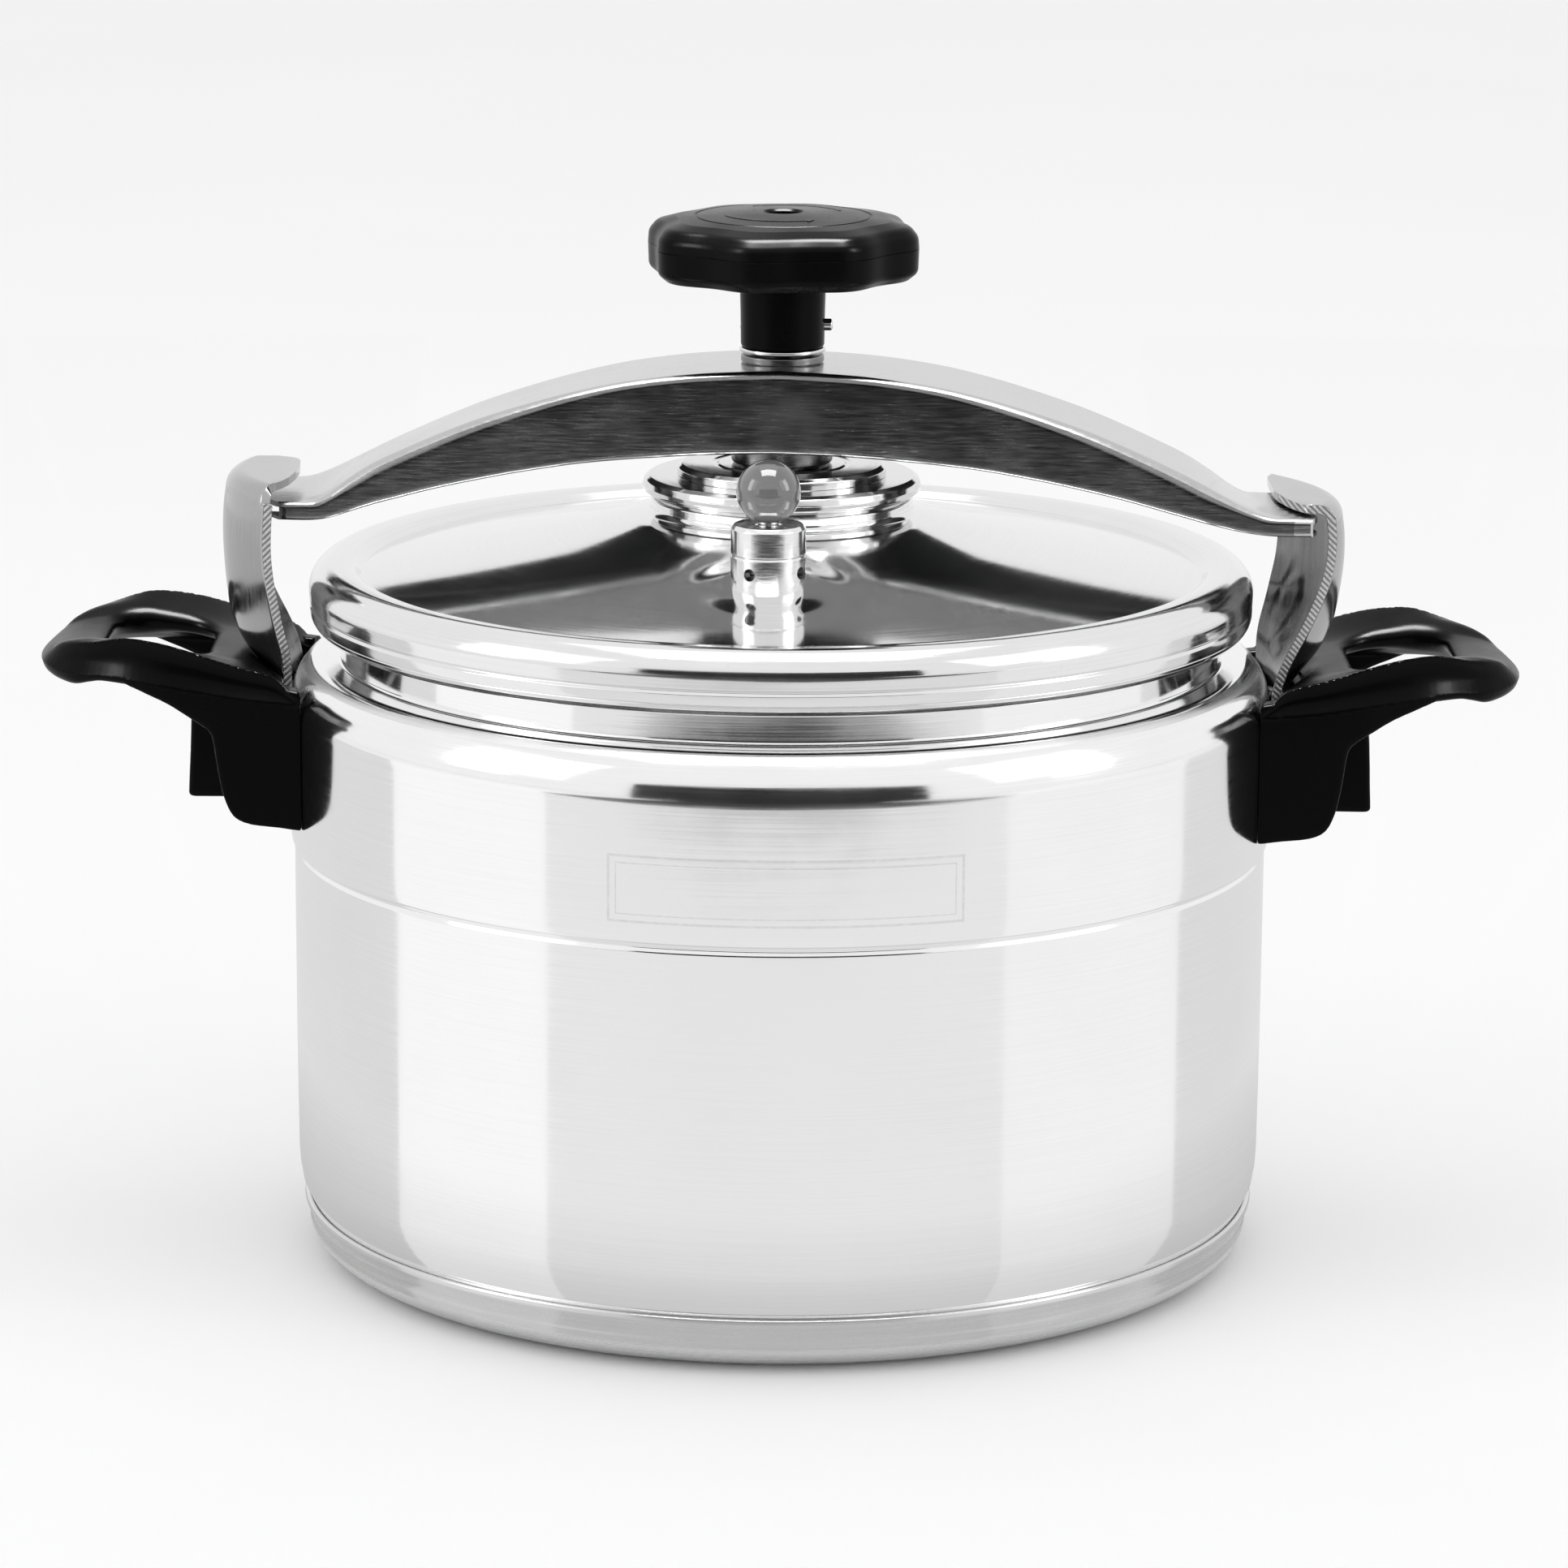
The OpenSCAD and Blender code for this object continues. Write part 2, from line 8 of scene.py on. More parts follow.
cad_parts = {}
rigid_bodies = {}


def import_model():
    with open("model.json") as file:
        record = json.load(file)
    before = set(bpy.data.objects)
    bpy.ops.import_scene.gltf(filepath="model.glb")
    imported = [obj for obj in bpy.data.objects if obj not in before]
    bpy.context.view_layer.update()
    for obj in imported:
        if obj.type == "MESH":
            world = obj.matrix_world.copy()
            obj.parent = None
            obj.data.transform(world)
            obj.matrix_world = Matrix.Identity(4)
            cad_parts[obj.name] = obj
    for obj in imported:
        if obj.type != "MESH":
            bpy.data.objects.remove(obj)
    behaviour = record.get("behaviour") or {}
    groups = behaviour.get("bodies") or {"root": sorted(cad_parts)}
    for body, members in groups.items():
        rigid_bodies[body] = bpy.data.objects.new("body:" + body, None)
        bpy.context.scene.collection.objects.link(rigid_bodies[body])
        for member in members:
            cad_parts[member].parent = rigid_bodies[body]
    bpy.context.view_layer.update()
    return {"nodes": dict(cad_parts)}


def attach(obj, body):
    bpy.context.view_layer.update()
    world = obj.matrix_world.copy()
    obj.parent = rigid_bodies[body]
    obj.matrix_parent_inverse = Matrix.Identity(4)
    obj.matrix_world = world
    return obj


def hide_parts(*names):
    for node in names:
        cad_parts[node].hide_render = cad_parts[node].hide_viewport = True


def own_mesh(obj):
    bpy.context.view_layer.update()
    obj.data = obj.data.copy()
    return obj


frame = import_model()
MM = 0.001
D2R = math.pi / 180

# ---------------------------------------------------------------- helpers


def smoothstep(a, b, x):
    t = np.clip((np.asarray(x, float) - a) / (b - a), 0, 1)
    return t * t * (3 - 2 * t)


def curve(points, m=6):
    """Catmull-Rom through the points, m steps a span."""
    p = np.array(points, float)
    out = []
    n = len(p)
    for i in range(n - 1):
        p0, p1, p2, p3 = p[max(i - 1, 0)], p[i], p[i + 1], p[min(i + 2, n - 1)]
        for j in range(m):
            t = j / m
            out.append(0.5 * (2 * p1 + (p2 - p0) * t + (2 * p0 - 5 * p1 + 4 * p2 - p3) * t * t
                              + (3 * p1 - p0 - 3 * p2 + p3) * t ** 3))
    out.append(p[-1])
    return np.array(out)


def rounded(points, steps=5):
    """Profile points (a, b[, radius]) with each named radius turned into an arc."""
    p = [tuple(q) + (0,) * (3 - len(q)) for q in points]
    out = []
    for i, (x, y, r) in enumerate(p):
        if r <= 0 or i in (0, len(p) - 1):
            out.append((x, y))
            continue
        c = np.array([x, y])
        a = np.array(p[i - 1][:2]) - c
        b = np.array(p[i + 1][:2]) - c
        la, lb = np.linalg.norm(a), np.linalg.norm(b)
        a, b = a / la, b / lb
        ang = math.acos(max(-1, min(1, float(a @ b))))
        if ang > 3.1 or ang < 0.05:
            out.append((x, y))
            continue
        d = min(r / math.tan(ang / 2), 0.48 * la, 0.48 * lb)
        r = d * math.tan(ang / 2)
        mid = (a + b) / np.linalg.norm(a + b)
        o = c + mid * (r / math.sin(ang / 2))
        s, e = c + a * d - o, c + b * d - o
        a0 = math.atan2(s[1], s[0])
        a1 = math.atan2(e[1], e[0])
        while a1 - a0 > math.pi:
            a1 -= 2 * math.pi
        while a1 - a0 < -math.pi:
            a1 += 2 * math.pi
        for k in range(steps + 1):
            t = a0 + (a1 - a0) * k / steps
            out.append((o[0] + r * math.cos(t), o[1] + r * math.sin(t)))
    return out


def make(name, verts, faces, mats, body, slot, nodes=(), mat_index=None, smooth=True,
         sharp=None, weighted=False, normals=None):
    me = bpy.data.meshes.new(name)
    v = np.asarray(verts, float) * MM
    me.from_pydata(v.tolist(), [], [list(map(int, f)) for f in faces])
    me.validate(clean_customdata=False)
    mats = mats if isinstance(mats, (list, tuple)) else [mats]
    for m in mats:
        me.materials.append(m)
    if mat_index is not None:
        me.polygons.foreach_set("material_index", np.asarray(mat_index, np.int32))
    me.polygons.foreach_set("use_smooth", [smooth] * len(me.polygons))
    if sharp:
        me.set_sharp_from_angle(angle=sharp * D2R)
    ob = bpy.data.objects.new(name, me)
    bpy.context.scene.collection.objects.link(ob)
    if normals is not None:
        me.normals_split_custom_set_from_vertices([tuple(q) for q in normals])
    if weighted:
        w = ob.modifiers.new("weighted", "WEIGHTED_NORMAL")
        w.keep_sharp = True
        w.weight = 80
    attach(ob, body)
    if nodes:
        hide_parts(*nodes)
    return ob


def lathe_mesh(profile, segs=192, at=(0, 0), lobe=None, close=True):
    """Rotates a closed profile of (r, z). Points at r = 0 become one vertex."""
    prof = [tuple(q) for q in profile]
    verts, rings = [], []
    ang = np.arange(segs) * 2 * math.pi / segs
    ca, sa = np.cos(ang), np.sin(ang)
    for i, (r, z) in enumerate(prof):
        if r < 1e-6:
            rings.append([len(verts)])
            verts.append((at[0], at[1], z))
        else:
            rr = np.full(segs, r) if lobe is None else lobe(i, r, ang)
            rings.append(list(range(len(verts), len(verts) + segs)))
            verts.extend(zip(at[0] + rr * ca, at[1] + rr * sa, [z] * segs))
    faces = []
    n = len(rings)
    for i in range(n if close else n - 1):
        a, b = rings[i], rings[(i + 1) % n]
        if len(a) == 1 and len(b) == 1:
            continue
        for k in range(segs):
            k2 = (k + 1) % segs
            if len(a) == 1:
                faces.append((a[0], b[k2], b[k]))
            elif len(b) == 1:
                faces.append((a[k], a[k2], b[0]))
            else:
                faces.append((a[k], a[k2], b[k2], b[k]))
    return np.array(verts, float), faces


def area_sign(profile):
    s = 0
    n = len(profile)
    for i in range(n):
        x0, y0 = profile[i][:2]
        x1, y1 = profile[(i + 1) % n][:2]
        s += x0 * y1 - x1 * y0
    return s


def lathe(name, profile, mat, body, slot, nodes=(), segs=192, at=(0, 0), sharp=50, lobe=None,
          weighted=True, **kw):
    if area_sign(profile) < 0:
        profile = profile[::-1]
    v, f = lathe_mesh(profile, segs, at, lobe)
    return make(name, v, f, mat, body, slot, nodes, sharp=sharp, weighted=weighted, **kw)


def grid_faces(nu, nv, off=0, wrap_v=False, flip=False):
    out = []
    mv = nv if wrap_v else nv - 1
    for i in range(nu - 1):
        for j in range(mv):
            j2 = (j + 1) % nv
            q = (off + i * nv + j, off + i * nv + j2, off + (i + 1) * nv + j2, off + (i + 1) * nv + j)
            out.append(q[::-1] if flip else q)
    return out


# ---------------------------------------------------------------- materials


class Mat:
    """A small wrapper that adds nodes to one material."""

    def __init__(self, name):
        self.m = bpy.data.materials.new(name)
        self.m.use_nodes = True
        self.t = self.m.node_tree
        self.t.nodes.clear()
        self.out = self.t.nodes.new("ShaderNodeOutputMaterial")
        self.bsdf = self.t.nodes.new("ShaderNodeBsdfPrincipled")
        self.link(self.bsdf.outputs[0], self.out.inputs[0])
        self.tc = self.t.nodes.new("ShaderNodeTexCoord")
        self.obj = self.tc.outputs["Object"]

    def link(self, a, b):
        self.t.links.new(a, b)

    def node(self, kind, **props):
        n = self.t.nodes.new(kind)
        for k, v in props.items():
            setattr(n, k, v)
        return n

    def put(self, socket, value):
        if isinstance(value, bpy.types.NodeSocket):
            self.link(value, socket)
        else:
            socket.default_value = value

    def math(self, op, a, b=None, c=None):
        n = self.node("ShaderNodeMath", operation=op)
        self.put(n.inputs[0], a)
        if b is not None:
            self.put(n.inputs[1], b)
        if c is not None:
            self.put(n.inputs[2], c)
        return n.outputs[0]

    def mapping(self, vec, scale=(1, 1, 1), loc=(0, 0, 0), rot=(0, 0, 0)):
        n = self.node("ShaderNodeMapping")
        self.link(vec, n.inputs[0])
        n.inputs["Location"].default_value = loc
        n.inputs["Rotation"].default_value = rot
        n.inputs["Scale"].default_value = scale
        return n.outputs[0]

    def xyz(self, vec):
        n = self.node("ShaderNodeSeparateXYZ")
        self.link(vec, n.inputs[0])
        return n.outputs

    def join(self, x, y, z):
        n = self.node("ShaderNodeCombineXYZ")
        for s, v in zip(n.inputs, (x, y, z)):
            self.put(s, v)
        return n.outputs[0]

    def noise(self, vec, scale, detail=2.0, rough=0.5):
        n = self.node("ShaderNodeTexNoise")
        self.link(vec, n.inputs["Vector"])
        n.inputs["Scale"].default_value = scale
        n.inputs["Detail"].default_value = detail
        n.inputs["Roughness"].default_value = rough
        return n.outputs[0]

    def ramp(self, fac, lo, hi, a=0.0, b=1.0):
        n = self.node("ShaderNodeMapRange")
        n.clamp = True
        self.put(n.inputs[0], fac)
        n.inputs[1].default_value = lo
        n.inputs[2].default_value = hi
        n.inputs[3].default_value = a
        n.inputs[4].default_value = b
        return n.outputs[0]

    def mix(self, fac, a, b):
        n = self.node("ShaderNodeMix", data_type="RGBA")
        self.put(n.inputs[0], fac)
        for s, v in ((n.inputs[6], a), (n.inputs[7], b)):
            if isinstance(v, (int, float)):
                v = (v, v, v, 1)
            self.put(s, v)
        return n.outputs[2]

    def bump(self, height, strength, dist, prev=None):
        n = self.node("ShaderNodeBump")
        self.put(n.inputs["Height"], height)
        n.inputs["Strength"].default_value = strength
        n.inputs["Distance"].default_value = dist
        if prev is not None:
            self.link(prev, n.inputs["Normal"])
        return n.outputs[0]

    def radial(self, centre=(0, 0)):
        """(radius, angle, z) of the object's own coordinates, about a centre."""
        v = self.mapping(self.obj, loc=(-centre[0], -centre[1], 0)) if centre != (0, 0) else self.obj
        x, y, z = self.xyz(v)
        r = self.math("SQRT", self.math("ADD", self.math("MULTIPLY", x, x), self.math("MULTIPLY", y, y)))
        a = self.math("ARCTAN2", y, x)
        return r, a, z


def metal(name, base, rough, spread=0.05, lines="turn", density=2600, bump=0.06, aniso=0.0,
          centre=(0, 0), wear=0.0, stain=0.03, axis=(1, 60, 60), extra=None, line_var=0.06, ripple=0.012):
    """Metal with a directional finish. lines: turn (round the axis), run (along one axis)."""
    k = Mat(name)
    b = k.bsdf
    b.inputs["Metallic"].default_value = 1.0
    if lines == "turn":
        r, a, z = k.radial((centre[0] * MM, centre[1] * MM))
        vec = k.join(k.math("MULTIPLY", r, float(density)), k.math("MULTIPLY", z, float(density)),
                     k.math("MULTIPLY", a, 2.2))
    else:
        vec = k.mapping(k.obj, scale=tuple(density * q / 60 for q in axis))
    fine = k.noise(vec, 1.0, 3.0, 0.62)
    blot = k.noise(k.mapping(k.obj, scale=(1, 1, 1)), 42.0, 3.0, 0.6)
    spots = k.noise(k.obj, 900.0, 2.0, 0.5)
    # roughness: base, plus the lines, plus handling blotches
    rr = k.math("ADD", k.ramp(fine, 0.3, 0.75, rough - line_var, rough + line_var),
                k.ramp(blot, 0.35, 0.7, -spread, spread))
    k.link(k.math("MAXIMUM", rr, 0.02), b.inputs["Roughness"])
    tone = k.math("MULTIPLY", k.ramp(fine, 0.25, 0.8, 1.0 - stain, 1.0 + stain),
                  k.ramp(blot, 0.3, 0.75, 1.0 - stain, 1.0))
    tone = k.math("MULTIPLY", tone, k.ramp(spots, 0.72, 0.8, 1.0, 1.0 - stain * 2))
    if wear:
        g = k.node("ShaderNodeNewGeometry")
        edge = k.ramp(g.outputs["Pointiness"], 0.5, 0.56, 0.0, wear)
        tone = k.math("ADD", tone, edge)
    if extra:
        tone = extra(k, tone)
    col = k.join(k.math("MULTIPLY", tone, float(base)), k.math("MULTIPLY", tone, float(base)),
                 k.math("MULTIPLY", tone, float(base)))
    k.link(col, b.inputs["Base Color"])
    if aniso:
        b.inputs["Anisotropic"].default_value = aniso
        t = k.node("ShaderNodeTangent")
        t.direction_type = "RADIAL"
        t.axis = "Z" if lines == "turn" else "Y"
        b.inputs["Anisotropic Rotation"].default_value = 0.25 if lines == "turn" else 0.0
        k.link(t.outputs[0], b.inputs["Tangent"])
    n = k.bump(fine, bump, 0.00006)
    n = k.bump(blot, ripple, 0.0006, n)
    k.link(n, b.inputs["Normal"])
    return k.m


def plastic(name, base, rough, grain=0.05, gloss_var=0.08, coat=0.0, scratch=0.05, spec=0.05):
    k = Mat(name)
    b = k.bsdf
    blot = k.noise(k.obj, 60.0, 4.0, 0.6)
    g1 = k.noise(k.obj, 2400.0, 2.0, 0.5)
    scr = k.noise(k.mapping(k.obj, scale=(2200, 90, 300), rot=(0.3, 0.4, 0.5)), 1.0, 2.0, 0.5)
    k.link(k.math("ADD", k.ramp(blot, 0.3, 0.7, rough - gloss_var, rough + gloss_var),
                  k.ramp(scr, 0.68, 0.74, 0.0, scratch)), b.inputs["Roughness"])
    t = k.math("MULTIPLY", k.ramp(blot, 0.3, 0.75, 0.85 * base, 1.2 * base), k.ramp(g1, 0.3, 0.7, 0.95, 1.05))
    k.link(k.join(t, t, t), b.inputs["Base Color"])
    b.inputs["Specular IOR Level"].default_value = spec
    if coat:
        b.inputs["Coat Weight"].default_value = coat
        b.inputs["Coat Roughness"].default_value = 0.06
    n = k.bump(g1, grain, 0.00005)
    n = k.bump(blot, 0.08, 0.0005, n)
    k.link(n, b.inputs["Normal"])
    return k.m


def rubber(name, base):
    k = Mat(name)
    g1 = k.noise(k.obj, 1500.0, 3.0, 0.6)
    blot = k.noise(k.obj, 80.0, 3.0, 0.6)
    t = k.ramp(blot, 0.3, 0.7, base * 0.8, base * 1.25)
    k.link(k.join(t, t, t), k.bsdf.inputs["Base Color"])
    k.link(k.ramp(g1, 0.3, 0.7, 0.55, 0.75), k.bsdf.inputs["Roughness"])
    k.link(k.bump(g1, 0.2, 0.0001), k.bsdf.inputs["Normal"])
    return k.m


def band_tones(k, tone):
    """The plain etched frame on the front of the pot."""
    x, y, z = k.xyz(k.obj)
    # a plain double frame, etched into the front
    front = k.math("LESS_THAN", y, -0.09)

    def line(lo_x, hi_x, lo_z, hi_z, w):
        dx = k.math("SUBTRACT", k.math("ABSOLUTE", k.math("SUBTRACT", x, (lo_x + hi_x) / 2)), (hi_x - lo_x) / 2)
        dz = k.math("SUBTRACT", k.math("ABSOLUTE", k.math("SUBTRACT", z, (lo_z + hi_z) / 2)), (hi_z - lo_z) / 2)
        d = k.math("MAXIMUM", dx, dz)
        return k.ramp(k.math("ABSOLUTE", d), w, w * 2.2, 1.0, 0.0)

    f = k.math("MAXIMUM", line(-0.0395, 0.0425, 0.1095, 0.1250, 0.00018),
               line(-0.0378, 0.0408, 0.1112, 0.1233, 0.0001))
    f = k.math("MULTIPLY", f, front)
    wob = k.noise(k.obj, 700.0, 2.0, 0.5)
    f = k.math("MULTIPLY", f, k.ramp(wob, 0.3, 0.6, 0.45, 1.0))
    return k.math("MULTIPLY", tone, k.math("SUBTRACT", 1.0, k.math("MULTIPLY", f, 0.16)))


M_POT = metal("pot_spun", 0.93, 0.115, spread=0.025, aniso=0.4, density=2100, bump=0.03, stain=0.02,
              extra=band_tones, line_var=0.04)
M_POT_IN = metal("pot_inside", 0.80, 0.36, spread=0.06, aniso=0.4, density=1500, bump=0.12, stain=0.05)
M_BASE = metal("base_spun", 0.74, 0.27, spread=0.05, aniso=0.5, density=1300, bump=0.16, stain=0.05, line_var=0.1)
M_LID = metal("lid_polished", 0.84, 0.10, spread=0.02, density=2400, bump=0.014, stain=0.03, line_var=0.03)
M_RIM = metal("lid_rim_brushed", 0.84, 0.13, spread=0.04, aniso=0.35, density=1900, bump=0.07, stain=0.03)
# inner face of the hook sheet: the low base colour is painted shade, and the stronger streaks are real marks
M_HOOK_IN_SHADE = metal("hook_sheet_inside_painted_shade", 0.24, 0.24, spread=0.07, lines="run", axis=(60, 60, 1), density=500, bump=0.16,
                  stain=0.3, wear=0.05)
M_HOOK = metal("hook_sheet", 0.44, 0.17, spread=0.05, lines="run", axis=(60, 60, 1), density=1700, bump=0.07,
               stain=0.05, wear=0.08)


def sheared(name):
    """Cut edge of the sheet: short ribs across its thickness."""
    k = Mat(name)
    x, y, z = k.xyz(k.obj)
    u = k.math("ADD", z, k.math("ABSOLUTE", x))
    wob = k.noise(k.obj, 380.0, 2.0, 0.5)
    ph = k.math("ADD", k.math("MULTIPLY", u, 2 * math.pi / 0.0015), k.math("MULTIPLY", wob, 1.6))
    rib = k.math("SINE", ph)
    grit = k.noise(k.obj, 2600.0, 2.0, 0.6)
    h = k.math("ADD", k.math("MULTIPLY", rib, 0.5), grit)
    t = k.math("MULTIPLY", k.ramp(rib, -0.6, 0.6, 0.30, 0.82), k.ramp(grit, 0.3, 0.7, 0.8, 1.1))
    k.link(k.join(t, t, t), k.bsdf.inputs["Base Color"])
    k.bsdf.inputs["Metallic"].default_value = 1.0
    k.link(k.ramp(grit, 0.3, 0.7, 0.32, 0.5), k.bsdf.inputs["Roughness"])
    k.link(k.bump(h, 0.8, 0.00012), k.bsdf.inputs["Normal"])
    return k.m


M_EDGE = sheared("hook_sheared_edge")
M_BAR = metal("bar_brushed", 0.56, 0.22, spread=0.05, lines="run", axis=(1, 60, 60), density=2200, bump=0.12,
              stain=0.05, line_var=0.08, aniso=0.45)
# painted shade: a darker copy of the bar metal for the side walls, which stand in shade
M_BAR_WALL_SHADE = metal("bar_wall_painted_shade", 0.27, 0.24, spread=0.05, lines="run", axis=(1, 60, 60), density=2200, bump=0.2,
                   stain=0.16, line_var=0.08, aniso=0.3)
# painted shade: the inside of the bar, under its top, gets a dark base colour
M_BAR_IN_SHADE = metal("bar_inside_painted_shade", 0.22, 0.42, spread=0.08, lines="run", axis=(1, 60, 60), density=1600, bump=0.2,
                 stain=0.12)
M_TURN = metal("turned_steel", 0.76, 0.13, spread=0.03, density=2600, bump=0.05, stain=0.03, aniso=0.3)
M_VALVE = metal("valve_turned", 0.86, 0.16, spread=0.03, density=2600, bump=0.06, stain=0.04, aniso=0.35,
                centre=(-3.1, -62.6))
M_SAFE = metal("safety_turned", 0.7, 0.25, spread=0.05, density=2000, bump=0.08, stain=0.05, centre=(3.1, 62.6))
M_SCREW = metal("screw_steel", 0.26, 0.26, spread=0.06, density=1600, bump=0.2, stain=0.1)
M_FAST = metal("fastener_steel", 0.66, 0.3, spread=0.08, lines="run", axis=(20, 60, 60), density=1400, bump=0.1,
               stain=0.08)
M_SPRING = metal("spring_wire", 0.7, 0.2, spread=0.05, lines="run", axis=(30, 30, 60), density=2400, bump=0.08)
M_PLASTIC = plastic("handle_phenolic", 0.002, 0.24, gloss_var=0.05)
M_KNOB = plastic("knob_phenolic", 0.003, 0.26, gloss_var=0.05)
M_BALL = plastic("ball_plastic", 0.15, 0.08, gloss_var=0.02, coat=1.0, grain=0.01, scratch=0.05, spec=0.5)
M_RUBBER = rubber("seal_rubber", 0.035)

# ---------------------------------------------------------------- camera and studio

scene = bpy.context.scene
cam_data = bpy.data.cameras.new("camera")
cam = bpy.data.objects.new("camera", cam_data)
scene.collection.objects.link(cam)
scene.camera = cam
cam_data.lens = 142.0
cam_data.sensor_width = 36.0
cam_data.dof.use_dof = False
cam.location = (0, -1.5, 0.458973)
cam.rotation_mode = "QUATERNION"
_R = (Matrix.Rotation(-0.03842 * D2R, 3, "Z") @ Matrix.Rotation((90 - 12.8932) * D2R, 3, "X")
      @ Matrix.Rotation(0.34855 * D2R, 3, "Z"))
cam.rotation_quaternion = _R.to_quaternion()
cam_data.clip_start, cam_data.clip_end = 0.05, 60

scene.view_settings.view_transform = "Standard"
scene.view_settings.look = "None"

world = bpy.data.worlds.new("studio")
scene.world = world
world.use_nodes = True
bg = world.node_tree.nodes["Background"]
bg.inputs[0].default_value = (0.94, 0.94, 0.94, 1)
bg.inputs[1].default_value = 1.0


def simple(name, col, emit=0.0, rough=0.8):
    k = Mat(name)
    n = k.noise(k.obj, 3.0, 2.0, 0.5)
    t = k.ramp(n, 0.3, 0.7, col * 0.99, col)
    k.link(k.join(t, t, t), k.bsdf.inputs["Base Color"])
    k.bsdf.inputs["Roughness"].default_value = rough
    if emit:
        k.bsdf.inputs["Emission Color"].default_value = (1, 1, 1, 1)
        k.bsdf.inputs["Emission Strength"].default_value = emit
    return k.m


def panel(name, centre, size, normal, mat, camera=False):
    """A flat card of width x height (m), facing normal."""
    me = bpy.data.meshes.new(name)
    w, h = size[0] / 2, size[1] / 2
    me.from_pydata([(-w, -h, 0), (w, -h, 0), (w, h, 0), (-w, h, 0)], [], [(0, 1, 2, 3)])
    me.materials.append(mat)
    ob = bpy.data.objects.new(name, me)
    scene.collection.objects.link(ob)
    ob.location = centre
    ob.rotation_mode = "QUATERNION"
    ob.rotation_quaternion = Vector(normal).to_track_quat("Z", "Y")
    ob.visible_camera = camera
    ob.visible_shadow = False
    return ob


floor_mat = simple("floor_paper", 0.93)
floor = panel("floor", (0, 0, -0.0003), (14, 14), (0, 0, 1), floor_mat, camera=True)
floor.visible_shadow = True
DARK = simple("card_black", 0.012, rough=0.9)
GREY = simple("card_grey", 0.16, rough=0.9)


def area(name, loc, target, size, power, size_y=None):
    l = bpy.data.lights.new(name, "AREA")
    l.shape = "RECTANGLE"
    l.size = size
    l.size_y = size_y or size
    l.energy = power
    ob = bpy.data.objects.new(name, l)
    scene.collection.objects.link(ob)
    ob.location = loc
    ob.rotation_mode = "QUATERNION"
    ob.rotation_quaternion = (Vector(target) - Vector(loc)).to_track_quat("-Z", "Y")
    return ob


area("soft_top", (0.0, 0.1, 2.2), (0, 0, 0.15), 1.6, 3.5)
area("soft_left", (-2.0, -0.9, 1.3), (0, 0, 0.15), 1.4, 4)
area("soft_right", (2.0, -0.9, 1.3), (0, 0, 0.15), 1.4, 4)

def glow(name, level):
    k = Mat(name)
    n = k.noise(k.obj, 1.2, 2.0, 0.5)
    k.link(k.ramp(n, 0.3, 0.7, level * 0.97, level), k.bsdf.inputs["Emission Strength"])
    k.bsdf.inputs["Emission Color"].default_value = (1, 1, 1, 1)
    k.bsdf.inputs["Base Color"].default_value = (0, 0, 0, 1)
    return k.m


# soft boxes that show in glossy surfaces only
for nm, c, sz, lv in (("box_top", (0.0, -0.25, 1.9), (1.3, 0.8), 9.0),
                      ("box_left", (-1.7, -0.55, 0.95), (0.5, 1.1), 4.0),
                      ("box_right", (1.7, -0.55, 0.95), (0.5, 1.1), 4.0)):
    bx = panel(nm, c, sz, Vector((0, 0, 0.18)) - Vector(c), glow(nm + "_glow", lv))
    bx.visible_diffuse = False



def floor_glow(name, level):
    """A pale glowing card, seen only in reflections, with a painted shadow: a little darker close to the pot."""
    k = Mat(name)
    r, a, z = k.radial()
    n = k.noise(k.obj, 5.0, 2.0, 0.5)
    g = k.math("MULTIPLY", k.ramp(r, 0.12, 0.24, level * 0.72, level), k.ramp(n, 0.3, 0.7, 0.985, 1.0))
    k.link(g, k.bsdf.inputs["Emission Strength"])
    k.bsdf.inputs["Emission Color"].default_value = (1, 1, 1, 1)
    k.bsdf.inputs["Base Color"].default_value = (0, 0, 0, 1)
    k.bsdf.inputs["Specular IOR Level"].default_value = 0.0
    return k.m


def wedge(name, a, b, level):
    """Floor card that the pot wall mirrors between the azimuths a and b (degrees from the front): a painted reflection
    of the floor's tones.
    """
    R0 = 0.1204

    def ray(q):
        q = q * D2R
        d = (math.sin(2 * q), -math.cos(2 * q))
        p0 = (R0 * math.sin(q), -R0 * math.cos(q))
        run = min(1.5, (0.72 + p0[1]) / max(1e-3, -d[1])) if d[1] < 0 else 1.5
        return (p0[0] + d[0] * run, p0[1] + d[1] * run)

    qs = [a + (b - a) * i / 10 for i in range(11)]
    inner = [(R0 * math.sin(q * D2R), -R0 * math.cos(q * D2R)) for q in qs]
    outer = [ray(q) for q in qs]
    n = len(qs)
    me = bpy.data.meshes.new(name)
    me.from_pydata([(x, y, 0.0) for x, y in inner + outer], [],
                   [(i, n + i, n + i + 1, i + 1) for i in range(n - 1)])
    me.materials.append(floor_glow(name + "_tone", level))
    ob = bpy.data.objects.new(name, me)
    scene.collection.objects.link(ob)
    ob.location = (0, 0, 0.0012)
    for flag in ("visible_camera", "visible_diffuse", "visible_shadow", "visible_transmission"):
        setattr(ob, flag, False)


# painted reflection of lighter and darker floor zones, one glow level per wedge
for nm, a, b, lv in (("tone_front", -27.5, 26.7, 0.86), ("tone_left", -50.3, -27.5, 1.02), ("tone_right", 26.7, 53.8, 0.95),
                     ("tone_far_left", -89, -50.3, 0.76), ("tone_far_right", 53.8, 89, 0.76)):
    wedge(nm, a, b, lv)

# dark flags that only the polished metal sees
for nm, c, sz, nv in (("flag_front", (0, -2.6, 0.55), (3.4, 1.1), (0, 1, 0)),
                      ("flag_low", (0, -1.67, 0.002), (2.0, 1.86), (0, 0, 1))):
    fl = panel(nm, c, sz, nv, DARK)
    fl.visible_diffuse = False

